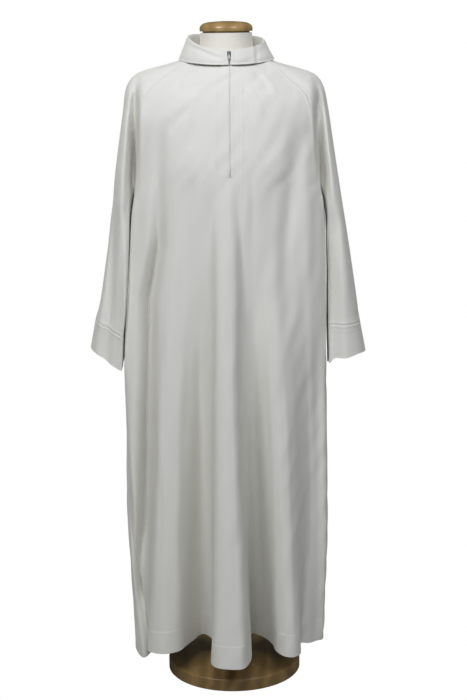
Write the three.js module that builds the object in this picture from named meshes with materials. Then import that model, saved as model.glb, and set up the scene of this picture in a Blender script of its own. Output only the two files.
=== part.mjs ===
// A full-length white alb with raglan sleeves, a fold-over collar and a short front zip,
// standing on a limbless dress form with a round wooden base.
//
// Millimetres, +Z up. The origin is the centre of the base's underside, the garment faces -Y
// and +X is on the right of someone who looks at its front. Every cloth piece is a wall: a grid
// of points on its outer face, moved in along the surface's own normals by the wall's thickness.

import * as THREE from 'three';

// ---------------------------------------------------------------- driving dimensions

const CLOTH = 1.8;            // wall of the front, back and sleeves
const CUFF_CLOTH = 2.2;       // the cuff band is doubled cloth
const COLLAR_CLOTH = 2.0;     // doubled and stiffened
const HEM_CLOTH = 1.4;        // the turned-up hem allowance
const HEM_DEPTH = 54;
const SEAM_GAP = 0.3;
const CUFF_GAP = 0.5;         // between a sleeve and its cuff

const ZIP_FOOT_X = 4.9;       // the front slit leans a little off the form's middle
const ZIP_NECK_X = 7.8;
const ZIP_HALF = 13;          // half the width of the zip's tape
const TAPE_THICK = 0.7;
const COIL_THICK = 1.4;
const COIL_HALF = 2.3;
const SLIDER = { z: 1477, half: 3.5, reach: 5, depth: 3 };
const BRIDGE = { half: 0.8, reach: 1.7, bar: 0.7, loop: 1.9 };
const PULL = { half: 2.1, bar: 0.45, eyeHalf: 1.2, eyeFoot: 3.3, foot: 13.1, thick: 0.9 };

// Heights of the rings of control points below the underarm.
const KNEE_Z = 400;
const HIP_Z = 710;
const CHEST_Z = 1172;
const UNDERARM_Z = 1115;
const CHEST_HALF = 222;

const BASE = { radius: 160, height: 30, edge: 5 };
const POLE = { radius: 17.5, foot: 34, footHeight: 14 };
const TORSO_FOOT_Z = 800;
const NECK_TOP_Z = 1522.2;
const CAP = { radius: 59.7, stem: 53, underside: 1525.6, top: 1548 };

// ---------------------------------------------------------------- tables of the garment

// The front from the wearer's right side seam (-X) to the left one. x is across and f is forward
// (towards -Y), at the hem, the knee, the hip and the chest. drop is how far the hem hangs below
// HEM_Z there.
const HEM_Z = 90;
const FRONT_FOLDS = [
  { name: 'side seam right', hem: [-196, 78], knee: [-240, 66], hip: [-243, 20], chest: [-222, 0], drop: 20 },
  { name: 'side right', hem: [-199, 90], knee: [-224, 86], hip: [-243, 74], chest: [-214, 66], drop: 8 },
  { name: 'valley right', hem: [-202, 104], knee: [-199, 88], hip: [-192, 92], chest: [-156, 114], drop: 2 },
  { name: 'ridge right, edge', hem: [-204, 126], knee: [-184, 116], hip: [-170, 114], chest: [-132, 122], drop: 0 },
  { name: 'ridge right', hem: [-170, 149], knee: [-158, 140], hip: [-146, 131], chest: [-108, 131], drop: -2 },
  { name: 'ridge right, inner', hem: [-138, 140], knee: [-130, 128], hip: [-118, 124], chest: [-86, 137], drop: -2 },
  { name: 'slope right', hem: [-108, 84], knee: [-108, 92], hip: [-94, 109], chest: [-66, 142], drop: 0 },
  { name: 'valley mid right', hem: [-80, 46], knee: [-86, 72], hip: [-71, 103], chest: [-50, 145], drop: -2 },
  { name: 'wall right, foot', hem: [-54, 54], knee: [-54, 84], hip: [-47, 116], chest: [-38, 147], drop: 0 },
  { name: 'wall right, top', hem: [-48, 220], knee: [-40, 196], hip: [-32, 172], chest: [-26, 149], drop: 0 },
  { name: 'middle ridge', hem: [-10, 238], knee: [-12, 212], hip: [-11, 184], chest: [-8.1, 151], drop: 0 },
  { name: 'zip right', hem: [14, 237], knee: [7.2, 210], hip: [2.6, 183], chest: [4.1, 151], drop: 1 },
  { name: 'zip left', hem: [15.6, 236.8], knee: [8.8, 209.8], hip: [4.2, 182.8], chest: [5.7, 151], drop: 1 },
  { name: 'wall left, top', hem: [37, 222], knee: [23, 198], hip: [14, 174], chest: [17.9, 150], drop: 0 },
  { name: 'wall left, foot', hem: [44, 58], knee: [38, 90], hip: [30, 122], chest: [32, 148], drop: 0 },
  { name: 'valley mid left', hem: [64, 46], knee: [62, 72], hip: [54, 105], chest: [46, 146], drop: -2 },
  { name: 'slope left', hem: [90, 88], knee: [86, 102], hip: [78, 116], chest: [66, 142], drop: 0 },
  { name: 'ridge left, inner', hem: [103, 140], knee: [99, 135], hip: [92, 131], chest: [86, 137], drop: 2 },
  { name: 'ridge left', hem: [130, 164], knee: [118, 152], hip: [108, 140], chest: [106, 131], drop: 4 },
  { name: 'ridge left, edge', hem: [156, 150], knee: [140, 142], hip: [130, 131], chest: [130, 121], drop: 4 },
  { name: 'valley left', hem: [160, 88], knee: [180, 92], hip: [174, 98], chest: [152, 113], drop: 2 },
  { name: 'side left, ridge', hem: [186, 95], knee: [196, 94], hip: [191, 96], chest: [180, 98], drop: 6 },
  { name: 'side left', hem: [213, 74], knee: [223, 66], hip: [220, 66], chest: [214, 68], drop: 6 },
  { name: 'side seam left', hem: [214.5, 0], knee: [224, 2], hip: [222, 0], chest: [222, 0], drop: 4 },
];

// The back from the wearer's left side seam round to the right one, which comes forward at the
// hem. Here y is backward, so a point with y below 0 is on the front half.
const BACK_FOLDS = [
  { name: 'side seam left', hem: [214.5, 0], knee: [224, -2], hip: [222, 0], chest: [222, 0], drop: 4 },
  { name: 'side left', hem: [210, 76], knee: [215, 72], hip: [213, 72], chest: [208, 66], drop: 2 },
  { name: 'ridge left, edge', hem: [176, 148], knee: [170, 140], hip: [160, 128], chest: [152, 110], drop: 0 },
  { name: 'ridge left', hem: [134, 158], knee: [128, 148], hip: [120, 136], chest: [110, 121], drop: 0 },
  { name: 'valley left', hem: [88, 96], knee: [80, 106], hip: [72, 117], chest: [66, 127], drop: -2 },
  { name: 'wall left, foot', hem: [52, 86], knee: [46, 102], hip: [40, 118], chest: [38, 129], drop: -2 },
  { name: 'middle ridge, left', hem: [30, 178], knee: [24, 160], hip: [20, 145], chest: [14, 131], drop: 0 },
  { name: 'middle ridge, right', hem: [-24, 184], knee: [-24, 164], hip: [-20, 147], chest: [-14, 131], drop: 0 },
  { name: 'wall right, foot', hem: [-50, 90], knee: [-46, 104], hip: [-42, 118], chest: [-38, 129], drop: -2 },
  { name: 'valley right', hem: [-90, 98], knee: [-84, 107], hip: [-76, 117], chest: [-68, 127], drop: -2 },
  { name: 'ridge right', hem: [-130, 154], knee: [-124, 144], hip: [-118, 133], chest: [-110, 121], drop: 0 },
  { name: 'ridge right, edge', hem: [-176, 146], knee: [-168, 136], hip: [-160, 125], chest: [-154, 109], drop: 0 },
  { name: 'back corner right', hem: [-220, 78], knee: [-226, 76], hip: [-224, 74], chest: [-210, 66], drop: 4 },
  { name: 'side right, back', hem: [-240, 8], knee: [-247, 14], hip: [-238, 34], chest: [-218, 36], drop: 18 },
  { name: 'side right', hem: [-229, -72], knee: [-250, -34], hip: [-243, 0], chest: [-221, 16], drop: 28 },
  { name: 'side right, front', hem: [-214, -98], knee: [-246, -58], hip: [-244, -12], chest: [-222, 6], drop: 28 },
  { name: 'side seam right', hem: [-196, -78], knee: [-240, -66], hip: [-243, -20], chest: [-222, 0], drop: 20 },
];

// The yoke from the underarm to the neckline, a row for each ring of control points. right and
// left are the distance of the raglan seams from the middle. edge and mid are f (or y on the
// back) and z at the seams and at the middle. corner is the f of the column beside the seam, and
// bow says how squarely the ring runs from the middle to it.
const FRONT_YOKE = [
  { name: 'armhole', right: 213, left: 211, edge: [40, 1185], corner: 69, mid: [146, 1240], bow: 2.8 },
  { name: 'breast', right: 204, left: 200, edge: [64, 1270], corner: 80, mid: [140, 1290], bow: 2.7 },
  { name: 'upper breast', right: 197, left: 190, edge: [83, 1339], corner: 88, mid: [131, 1346], bow: 2.5 },
  { name: 'shoulder front', right: 182, left: 178, edge: [80, 1384], corner: 83, mid: [121, 1385], bow: 2.3 },
  { name: 'collarbone', right: 145, left: 139, edge: [70, 1422], corner: 72, mid: [109, 1416], bow: 2.1 },
  { name: 'neck base', right: 97, left: 102, edge: [56, 1454], corner: 58, mid: [98, 1439], bow: 2.0 },
];
const BACK_YOKE = [
  { name: 'armhole', right: 212, left: 210, edge: [44, 1188], corner: 68, mid: [131, 1236], bow: 2.9 },
  { name: 'shoulder blade', right: 202, left: 198, edge: [68, 1274], corner: 82, mid: [129, 1298], bow: 2.9 },
  { name: 'upper back', right: 192, left: 186, edge: [84, 1346], corner: 89, mid: [122, 1362], bow: 2.6 },
  { name: 'shoulder back', right: 170, left: 166, edge: [82, 1398], corner: 85, mid: [112, 1408], bow: 2.4 },
  { name: 'nape', right: 132, left: 129, edge: [71, 1434], corner: 73, mid: [98, 1442], bow: 2.2 },
  { name: 'neck base', right: 94, left: 95, edge: [52, 1459], corner: 54, mid: [82, 1465], bow: 2.0 },
];
const RAGLAN_NECK_X = { front: 74, back: 72 };

// The sleeve's outer line over the shoulder and down the arm: [distance from the middle, height].
// groove is the fold in front of the armhole, ridge the edge that hangs in front of it, and turn
// the outer front of the sleeve. Each is [share of the way out, f].
const SHOULDER = [
  { name: 'armhole', right: [260, 1195], left: [254, 1190], groove: [0.16, 46], ridge: [0.5, 77], turn: [0.9, 54] },
  { name: 'breast', right: [247, 1280], left: [241, 1275], groove: [0.2, 50], ridge: [0.56, 70], turn: [0.9, 46] },
  { name: 'upper breast', right: [236, 1358], left: [229, 1354], groove: [0.26, 64], ridge: [0.62, 60], turn: [0.9, 36] },
  { name: 'shoulder point', right: [226.5, 1406], left: [218.5, 1401], groove: [0.4, 71], ridge: [0.72, 55], turn: [0.93, 29] },
  { name: 'shoulder', right: [206, 1431.5], left: [201, 1426.5], groove: [0.38, 65], ridge: [0.71, 50], turn: [0.92, 27] },
  { name: 'neck base', right: [124, 1456.5], left: [124, 1453], groove: [0.38, 52], ridge: [0.71, 40], turn: [0.92, 21] },
];

// The hanging sleeve below the underarm, a row for each ring from the underarm to the cuff's
// edge. in and out are distances from the middle, front and back how far the ring reaches each
// way, and lean how far its front edge lies towards the outside. z is the height at the inner
// side, front inner corner, front, front outer corner, outer side and on round the back.
const SLEEVE_RIGHT = [
  { name: 'underarm', in: 222.7, out: 271, front: 78, back: 82, lean: 0.40,
    z: [1115, 1114, 1112, 1111, 1110, 1111, 1112, 1114] },
  { name: 'elbow', in: 231.5, out: 287, front: 80, back: 80, lean: 0.16,
    z: [1000, 1000, 1000, 1000, 1000, 1000, 1000, 1000] },
  { name: 'forearm', in: 237.5, out: 303, front: 80, back: 76, lean: 0.10,
    z: [908, 905, 906, 908, 909, 907, 904, 903] },
  { name: 'cuff seam', in: 245, out: 314, front: 79, back: 72, lean: 0.09,
    z: [848, 836, 841, 868, 872, 850, 822, 810] },
  { name: 'cuff edge', in: 248, out: 328, front: 78, back: 72, lean: 0.10,
    z: [778, 766, 762, 799, 803, 794, 778, 748] },
];
const SLEEVE_LEFT = [
  { name: 'underarm', in: 222.7, out: 267, front: 78, back: 82, lean: 0.40,
    z: [1115, 1114, 1112, 1111, 1110, 1111, 1112, 1114] },
  { name: 'elbow', in: 226, out: 283, front: 80, back: 80, lean: 0.40,
    z: [1000, 1000, 1000, 1000, 1000, 1000, 1000, 1000] },
  { name: 'forearm', in: 226, out: 298, front: 80, back: 78, lean: 0.34,
    z: [905, 906, 906, 906, 906, 905, 903, 903] },
  { name: 'cuff seam', in: 227, out: 304, front: 80, back: 76, lean: 0.28,
    z: [832, 856, 860, 862, 863, 848, 830, 820] },
  { name: 'cuff edge', in: 228, out: 318, front: 80, back: 76, lean: 0.26,
    z: [760, 786, 798, 793, 789, 779, 762, 748] },
];

// The collar's rings from the neckline seam up the stand, over the fold and down the fall. z is
// the height at the front, the wearer's right, the back and the left. slit is where its two
// front ends stand beside the zip.
const COLLAR_RINGS = [
  { name: 'stand foot', width: 78.2, front: 88.2, back: 68.2, z: [1452.8, 1468.9, 1479.9, 1468.9], slit: [4.8, 10.6] },
  { name: 'stand', width: 80.5, front: 85.2, back: 72.6, z: [1468, 1491, 1498, 1485], slit: [2.0, 10.8] },
  { name: 'fold, inside', width: 83.6, front: 80.4, back: 77.2, z: [1482.6, 1511.6, 1513.6, 1501.6], slit: [1.2, 11.2] },
  { name: 'fold', width: 86.0, front: 82.8, back: 79.6, z: [1486, 1515, 1517, 1505], slit: [1.2, 11.2] },
  { name: 'fold, outside', width: 88.4, front: 85.2, back: 82.0, z: [1482.6, 1511.6, 1513.6, 1501.6], slit: [1.2, 11.0] },
  { name: 'fall', width: 98.0, front: 93.0, back: 91.0, z: [1469.5, 1489, 1490, 1482], slit: [2.4, 10.0] },
  { name: 'fall edge', width: 108.5, front: 99.5, back: 98.5, z: [1454.5, 1464.5, 1467, 1463.4], slit: [5.2, 8.6] },
];
const NECKLINE = { width: 80, front: 90, back: 70, z: [1452, 1468, 1479, 1468] };

// The dress form, a row for each level: half its width and how far it reaches forward and back.
const TORSO = [
  { name: 'foot', z: TORSO_FOOT_Z, half: 150, front: 92, back: 98 },
  { name: 'seat', z: 850, half: 170, front: 104, back: 116 },
  { name: 'hip', z: 920, half: 170, front: 106, back: 116 },
  { name: 'waist', z: 1050, half: 148, front: 96, back: 98 },
  { name: 'ribs', z: 1160, half: 164, front: 108, back: 102 },
  { name: 'chest', z: 1270, half: 180, front: 118, back: 110 },
  { name: 'arm', z: 1340, half: 192, front: 108, back: 104 },
  { name: 'shoulder end', z: 1380, half: 197, front: 98, back: 94 },
  { name: 'shoulder', z: 1411, half: 190, front: 88, back: 84 },
  { name: 'shoulder top', z: 1431.4, half: 173, front: 78, back: 76 },
  { name: 'slope', z: 1447, half: 134, front: 70, back: 67 },
  { name: 'neck slope', z: 1457.6, half: 96, front: 65, back: 62 },
  { name: 'neck foot', z: 1466, half: 70, front: 62, back: 59 },
  { name: 'neck', z: 1486, half: 61.5, front: 60, back: 58 },
  { name: 'neck top', z: NECK_TOP_Z, half: 58, front: 58, back: 57 },
];

// ---------------------------------------------------------------- colours

const WHITE = { color: 0xe4e3dc, roughness: 0.72 };
const COVER = { color: 0xd9d6c9, roughness: 0.85 };
const OAK = { color: 0x9a7347, roughness: 0.4 };
const NICKEL = { color: 0xb9bdbf, roughness: 0.3, metalness: 0.9 };
const TAPE = { color: 0xdedccf, roughness: 0.8 };

// ---------------------------------------------------------------- surfaces and walls

const vec = (x, y, z) => new THREE.Vector3(x, y, z);
const mix = THREE.MathUtils.lerp;

// A smooth line through control points, as points at the given steps of each span.
function through(points, steps) {
  const line = new THREE.CatmullRomCurve3(points, false, 'centripetal');
  const spans = points.length - 1;
  const found = [];
  for (let span = 0; span < spans; span += 1) {
    const shares = Array.isArray(steps[span]) ? steps[span] : even(steps[span] ?? steps);
    shares.forEach((share) => found.push(line.getPoint((span + share) / spans)));
  }
  found.push(points[spans].clone());
  return found;
}

function even(count) {
  return Array.from({ length: count }, (_, k) => k / count);
}

// A surface through a net of control points is made in two goes: first up each column of the
// net, then across each row of what that gives.
function upColumns(net, rowSteps) {
  return net[0].map((_, i) => through(net.map((row) => row[i]), rowSteps));
}

function acrossRows(columns, columnSteps) {
  return columns[0].map((_, j) => through(columns.map((column) => column[j]), columnSteps));
}

// Outward normals of a grid whose columns run to the right and rows run up, seen from outside.
function normalsOf(grid) {
  const lastRow = grid.length - 1;
  const lastColumn = grid[0].length - 1;
  return grid.map((row, j) => row.map((_, i) => {
    const across = vec(0, 0, 0)
      .subVectors(row[Math.min(i + 1, lastColumn)], row[Math.max(i - 1, 0)])
      .normalize();
    const up = vec(0, 0, 0)
      .subVectors(grid[Math.min(j + 1, lastRow)][i], grid[Math.max(j - 1, 0)][i]);
    return across.cross(up).normalize();
  }));
}

function panel(grid) {
  return { grid, normals: normalsOf(grid) };
}

// Turns the wall's ends of two sewn edges the same way, and parts them by the seam's gap.
function sew(edgeA, edgeB, gap = SEAM_GAP) {
  const inward = ({ point, next }) => next.clone().sub(point).normalize();
  edgeA.forEach((a, k) => {
    const b = edgeB[k];
    const shared = a.normal.clone().add(b.normal).normalize();
    const apart = inward(a).sub(inward(b)).normalize();
    a.normal.copy(shared);
    b.normal.copy(shared);
    a.point.addScaledVector(apart, gap / 2);
    b.point.addScaledVector(apart, -gap / 2);
  });
}

// The points of one column of a panel, with their normals and the points beside them.
function columnEdge(piece, column, beside, rows) {
  return rows.map((j) => ({
    point: piece.grid[j][column],
    normal: piece.normals[j][column],
    next: piece.grid[j][beside].clone(),
  }));
}

function rowEdge(piece, row, beside) {
  return piece.grid[row].map((point, i) => ({
    point,
    normal: piece.normals[row][i],
    next: piece.grid[beside][i].clone(),
  }));
}

function moved(piece, distance) {
  return piece.grid.map((row, j) => row.map(
    (point, i) => point.clone().addScaledVector(piece.normals[j][i], distance)));
}

// Part of a panel, as a panel of its own with the same normals.
function cutOut(piece, rows, columns) {
  const take = (source) => source.slice(...rows).map((row) => row.slice(...columns));
  return { grid: take(piece.grid), normals: take(piece.normals) };
}

// A closed wall between a grid and the same grid moved in. Cells for which open() is true are
// left out, and the wall is closed round them.
function wall(outer, inner, open = () => false) {
  const rows = outer.length;
  const columns = outer[0].length;
  const positions = [];
  [outer, inner].forEach((grid) => grid.forEach((row) => row.forEach(
    (p) => positions.push(p.x, p.y, p.z))));
  const out = (j, i) => j * columns + i;
  const back = (j, i) => rows * columns + j * columns + i;
  const solid = (j, i) => j >= 0 && i >= 0 && j < rows - 1 && i < columns - 1 && !open(j, i);
  const faces = [];
  const quad = (a, b, c, d) => faces.push(a, b, c, a, c, d);
  for (let j = 0; j < rows - 1; j += 1) {
    for (let i = 0; i < columns - 1; i += 1) {
      if (!solid(j, i)) continue;
      quad(out(j, i), out(j, i + 1), out(j + 1, i + 1), out(j + 1, i));
      quad(back(j, i), back(j + 1, i), back(j + 1, i + 1), back(j, i + 1));
      if (!solid(j - 1, i)) quad(back(j, i), back(j, i + 1), out(j, i + 1), out(j, i));
      if (!solid(j + 1, i)) {
        quad(back(j + 1, i), out(j + 1, i), out(j + 1, i + 1), back(j + 1, i + 1));
      }
      if (!solid(j, i - 1)) quad(out(j + 1, i), back(j + 1, i), back(j, i), out(j, i));
      if (!solid(j, i + 1)) {
        quad(out(j + 1, i + 1), out(j, i + 1), back(j, i + 1), back(j + 1, i + 1));
      }
    }
  }
  return meshFrom(positions, faces);
}

function meshFrom(positions, faces) {
  const used = [...new Set(faces)];
  const place = new Map(used.map((index, k) => [index, k]));
  const geometry = new THREE.BufferGeometry();
  const kept = used.flatMap((index) => positions.slice(3 * index, 3 * index + 3));
  geometry.setAttribute('position', new THREE.Float32BufferAttribute(kept, 3));
  geometry.setIndex(faces.map((index) => place.get(index)));
  geometry.computeVertexNormals();
  return geometry;
}

const alb = new THREE.Group();

function add(name, geometry, finish) {
  const mesh = new THREE.Mesh(geometry, new THREE.MeshStandardMaterial(finish));
  mesh.name = name;
  alb.add(mesh);
  return mesh;
}

function clothWall(name, piece, thickness, open) {
  return add(name, wall(piece.grid, moved(piece, -thickness), open), WHITE);
}

// ---------------------------------------------------------------- the neck's rings

// A point of a ring round the neck. turn is 0 at the front and grows towards the wearer's right.
function ringPoint(ring, turn) {
  const [front, right, back, left] = ring.z;
  const side = Math.sin(turn) > 0 ? right : left;
  const level = (front + back) / 2;
  const lift = (side - level) * Math.sin(turn) ** 2;
  return vec(
    -ring.width * Math.sin(turn),
    (ring.back - ring.front) / 2 - ((ring.back + ring.front) / 2) * Math.cos(turn),
    level - ((back - front) / 2) * Math.cos(turn) + lift,
  );
}

function neckTurn(x, onBack) {
  const turn = Math.asin(-x / NECKLINE.width);
  return onBack ? Math.PI - turn : turn;
}

// ---------------------------------------------------------------- front and back

// Rows of the grids: the steps of each span between rings of control points. The first row
// above the hem is where the hem's turn-up ends, and the first one above the chest is the foot
// of the zip.
const BELOW_KNEE = [0, HEM_DEPTH / (KNEE_Z - HEM_Z), 0.45, 0.72];
const THIGH_STEPS = 3;
const WAIST_STEPS = 4;
const YOKE_STEPS = [2, 1, 1, 1, 2, 1, 1];
const UNDERARM_ROW = BELOW_KNEE.length + THIGH_STEPS + WAIST_STEPS;
const ZIP_FOOT_ROW = UNDERARM_ROW + 1;
const BODY_ROWS = [BELOW_KNEE, THIGH_STEPS, WAIST_STEPS, ...YOKE_STEPS];

// A wide span between two folds gets two columns of cells, a narrow one gets one.
const WIDE_SPAN = 38;
function columnSteps(folds) {
  const apart = (a, b, ring) => Math.hypot(a[ring][0] - b[ring][0], a[ring][1] - b[ring][1]);
  return folds.slice(1).map((fold, k) => {
    const widest = Math.max(...['hem', 'knee', 'hip'].map((ring) => apart(folds[k], fold, ring)));
    return widest > WIDE_SPAN ? 2 : 1;
  });
}

function columnOf(folds, name) {
  const steps = columnSteps(folds);
  const place = folds.findIndex((fold) => fold.name === name);
  return steps.slice(0, place).reduce((sum, step) => sum + step, 0);
}

// Where a column of the chest ring stands in a ring of the yoke: its x shrinks with the ring's
// width, but what lies over the zip's tape keeps its own width and leans with the slit.
function yokeX(chestX, ring, plain, share) {
  const side = chestX < plain.foot ? -1 : 1;
  const lean = mix(0, plain.neck - plain.foot, share);
  const fixed = plain.foot + side * plain.half;
  if ((chestX - fixed) * side <= 0.01) return chestX + lean;
  const reach = side < 0 ? -ring.right : ring.left;
  const out = (chestX - fixed) / (side * CHEST_HALF - fixed);
  return mix(fixed + lean, reach, out);
}

function bodyNet(folds, yoke, facing, plain) {
  const net = [
    folds.map((fold) => vec(fold.hem[0], facing * fold.hem[1], HEM_Z - fold.drop)),
    folds.map((fold) => vec(fold.knee[0], facing * fold.knee[1], KNEE_Z)),
    folds.map((fold) => vec(fold.hip[0], facing * fold.hip[1], HIP_Z)),
    folds.map((fold) => {
      const out = Math.abs(fold.chest[0]) / CHEST_HALF;
      return vec(fold.chest[0], facing * fold.chest[1], mix(CHEST_Z, UNDERARM_Z, out ** 6));
    }),
  ];
  const last = folds.length - 1;
  const beside = folds.map((fold) => fold.chest[0]).filter((x) => Math.abs(x) < CHEST_HALF);
  yoke.forEach((ring, level) => net.push(folds.map((fold, k) => {
    const share = (level + 1) / (yoke.length + 1);
    const x = yokeX(fold.chest[0], ring, plain, share);
    const edge = x < 0 ? ring.right : ring.left;
    const height = mix(ring.mid[1], ring.edge[1], (Math.abs(x) / edge) ** ring.bow);
    if (k === 0 || k === last) return vec(x, facing * ring.edge[0], height);
    const corner = x < 0 ? Math.min(...beside) : Math.max(...beside);
    const out = Math.abs(x / yokeX(corner, ring, plain, share));
    return vec(x, facing * mix(ring.mid[0], ring.corner, out ** ring.bow), height);
  })));
  const onBack = facing > 0;
  const neckX = onBack ? RAGLAN_NECK_X.back : RAGLAN_NECK_X.front;
  const neckRing = { right: neckX, left: neckX };
  net.push(folds.map((fold) => ringPoint(
    NECKLINE, neckTurn(yokeX(fold.chest[0], neckRing, plain, 1), onBack))));
  return net;
}

const frontColumns = upColumns(
  bodyNet(FRONT_FOLDS, FRONT_YOKE, -1, { foot: ZIP_FOOT_X, neck: ZIP_NECK_X, half: ZIP_HALF }),
  BODY_ROWS);
const backColumns = upColumns(
  bodyNet(BACK_FOLDS, BACK_YOKE, 1, { foot: 0, neck: 0, half: 0 }), BODY_ROWS);

// Front and back share their side seams up to the underarm.
function shareSideSeam(frontColumn, backColumn) {
  for (let j = 0; j <= UNDERARM_ROW; j += 1) {
    frontColumn[j].lerp(backColumn[j], 0.5);
    backColumn[j].copy(frontColumn[j]);
  }
}
shareSideSeam(frontColumns[0], backColumns[backColumns.length - 1]);
shareSideSeam(frontColumns[frontColumns.length - 1], backColumns[0]);

const front = panel(acrossRows(frontColumns, columnSteps(FRONT_FOLDS)));
const back = panel(acrossRows(backColumns, columnSteps(BACK_FOLDS)));

// ---------------------------------------------------------------- sleeves

// One ring of control points over the shoulder, from the front seam to the back seam.
function shoulderRing(side, frontEnd, backEnd, row) {
  const [reach, z] = side < 0 ? row.right : row.left;
  const top = vec(side * reach, 2, z);
  const half = (end, facing) => [row.groove, row.ridge, row.turn].map(([share, depth]) => vec(
    mix(end.x, top.x, share), facing * depth, mix(end.z, top.z, share)));
  return [frontEnd, ...half(frontEnd, -1), top, ...half(backEnd, 1).reverse(), backEnd];
}

// One closed ring of the hanging sleeve, cut at its inner side. It is an ellipse with its front
// edge leaning inwards, from the inner side round the front to the outer side and the back.
const SLEEVE_TURNS = [180, 126, 90, 45, 0, -45, -90, -126, -180].map(THREE.MathUtils.degToRad);
const SLEEVE_SQUARENESS = 0.86;
function sleeveRing(side, row) {
  const middle = (row.in + row.out) / 2;
  const half = (row.out - row.in) / 2;
  const squared = (value) => Math.sign(value) * Math.abs(value) ** SLEEVE_SQUARENESS;
  return SLEEVE_TURNS.map((turn, k) => {
    const out = squared(Math.cos(turn));
    const forward = squared(Math.sin(turn));
    const lean = (row.lean - 0.5) * 2 * half * forward * (1 - Math.abs(out));
    const depth = forward > 0 ? row.front : row.back;
    return vec(side * (middle + half * out + lean), -forward * depth, row.z[k % row.z.length]);
  });
}

const SLEEVE_STEPS = 3;
const HANGING_STEPS = [1, 3, 4];
const SLEEVE_ROWS = [...HANGING_STEPS, ...YOKE_STEPS];
const SLEEVE_UNDERARM_ROW = HANGING_STEPS.reduce((sum, steps) => sum + steps, 0);
const CUFF_ROWS = [2];

// The body's raglan edges, from the first row above the underarm to the neckline.
function raglanEdge(columns, side, onBack) {
  const first = onBack ? side > 0 : side < 0;
  return columns[first ? 0 : columns.length - 1].slice(UNDERARM_ROW + 1);
}

function sleeve(side, hanging) {
  const frontEdge = raglanEdge(frontColumns, side, false);
  const backEdge = raglanEdge(backColumns, side, true);
  const rings = hanging.map((row) => sleeveRing(side, row)).reverse();
  const net = rings.slice(1);
  SHOULDER.forEach((row, k) => {
    const j = YOKE_STEPS.slice(0, k + 1).reduce((sum, steps) => sum + steps, -1);
    net.push(shoulderRing(side, frontEdge[j].clone(), backEdge[j].clone(), row));
  });
  const from = neckTurn(side * RAGLAN_NECK_X.front, false);
  const to = neckTurn(side * RAGLAN_NECK_X.back, true) - (side < 0 ? 0 : 2 * Math.PI);
  net.push(SLEEVE_TURNS.map((_, i) => ringPoint(
    NECKLINE, mix(from, to, i / (SLEEVE_TURNS.length - 1)))));
  const tubeColumns = upColumns(net, SLEEVE_ROWS);
  [[tubeColumns[0], frontEdge], [tubeColumns[SLEEVE_TURNS.length - 1], backEdge]].forEach(
    ([column, edge]) => edge.forEach(
      (point, k) => column[SLEEVE_UNDERARM_ROW + 1 + k].copy(point)));
  const cuffColumns = upColumns(rings.slice(0, 2), CUFF_ROWS);
  // Seen from outside, columns run to the right: the right sleeve starts at its back seam.
  const ordered = (columns) => (side < 0 ? [...columns].reverse() : columns);
  return {
    tube: panel(acrossRows(ordered(tubeColumns), SLEEVE_STEPS)),
    cuff: panel(acrossRows(ordered(cuffColumns), SLEEVE_STEPS)),
  };
}

const sleeveRight = sleeve(-1, SLEEVE_RIGHT);
const sleeveLeft = sleeve(1, SLEEVE_LEFT);

// ---------------------------------------------------------------- sewing the panels

const range = (from, to) => Array.from({ length: to - from }, (_, k) => from + k);

function sewBody() {
  const side = range(0, UNDERARM_ROW + 1);
  const lastFront = front.grid[0].length - 1;
  const lastBack = back.grid[0].length - 1;
  sew(columnEdge(front, 0, 1, side), columnEdge(back, lastBack, lastBack - 1, side));
  sew(columnEdge(front, lastFront, lastFront - 1, side), columnEdge(back, 0, 1, side));
}

function sewSleeve(side, { tube, cuff }) {
  const last = tube.grid[0].length - 1;
  const lastFront = front.grid[0].length - 1;
  const lastBack = back.grid[0].length - 1;
  const closed = range(0, SLEEVE_UNDERARM_ROW + 1);
  const raglan = range(SLEEVE_UNDERARM_ROW + 1, tube.grid.length);
  const bodyRows = raglan.map((j) => j - SLEEVE_UNDERARM_ROW + UNDERARM_ROW);
  const tubeStart = (rows) => columnEdge(tube, 0, 1, rows);
  const tubeEnd = (rows) => columnEdge(tube, last, last - 1, rows);
  const frontEdge = side < 0
    ? columnEdge(front, 0, 1, bodyRows)
    : columnEdge(front, lastFront, lastFront - 1, bodyRows);
  const backEdge = side < 0
    ? columnEdge(back, lastBack, lastBack - 1, bodyRows)
    : columnEdge(back, 0, 1, bodyRows);
  sew(frontEdge, side < 0 ? tubeEnd(raglan) : tubeStart(raglan));
  sew(backEdge, side < 0 ? tubeStart(raglan) : tubeEnd(raglan));
  sew(tubeStart(closed), tubeEnd(closed));
  const cuffRows = range(0, cuff.grid.length);
  sew(columnEdge(cuff, 0, 1, cuffRows), columnEdge(cuff, last, last - 1, cuffRows));
  sew(rowEdge(tube, 0, 1), rowEdge(cuff, cuff.grid.length - 1, cuff.grid.length - 2), CUFF_GAP);
}

sewBody();
sewSleeve(-1, sleeveRight);
sewSleeve(1, sleeveLeft);

// ---------------------------------------------------------------- cloth pieces

const SLIT_CELL = columnOf(FRONT_FOLDS, 'zip right');
const inSlit = (j, i) => i === SLIT_CELL && j >= ZIP_FOOT_ROW;

clothWall('front', front, CLOTH, inSlit);
clothWall('back', back, CLOTH);
clothWall('sleeve_right', sleeveRight.tube, CLOTH);
clothWall('sleeve_left', sleeveLeft.tube, CLOTH);
clothWall('cuff_right', sleeveRight.cuff, CUFF_CLOTH);
clothWall('cuff_left', sleeveLeft.cuff, CUFF_CLOTH);

// The hem's turn-up lies inside the lowest rows of its panel.
function hem(name, body) {
  const rows = cutOut(body, [0, 2], [0, body.grid[0].length]);
  const outer = moved(rows, -(CLOTH + SEAM_GAP));
  const inner = moved(rows, -(CLOTH + SEAM_GAP + HEM_CLOTH));
  add(name, wall(outer, inner), WHITE);
}
hem('hem_front', front);
hem('hem_back', back);

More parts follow.
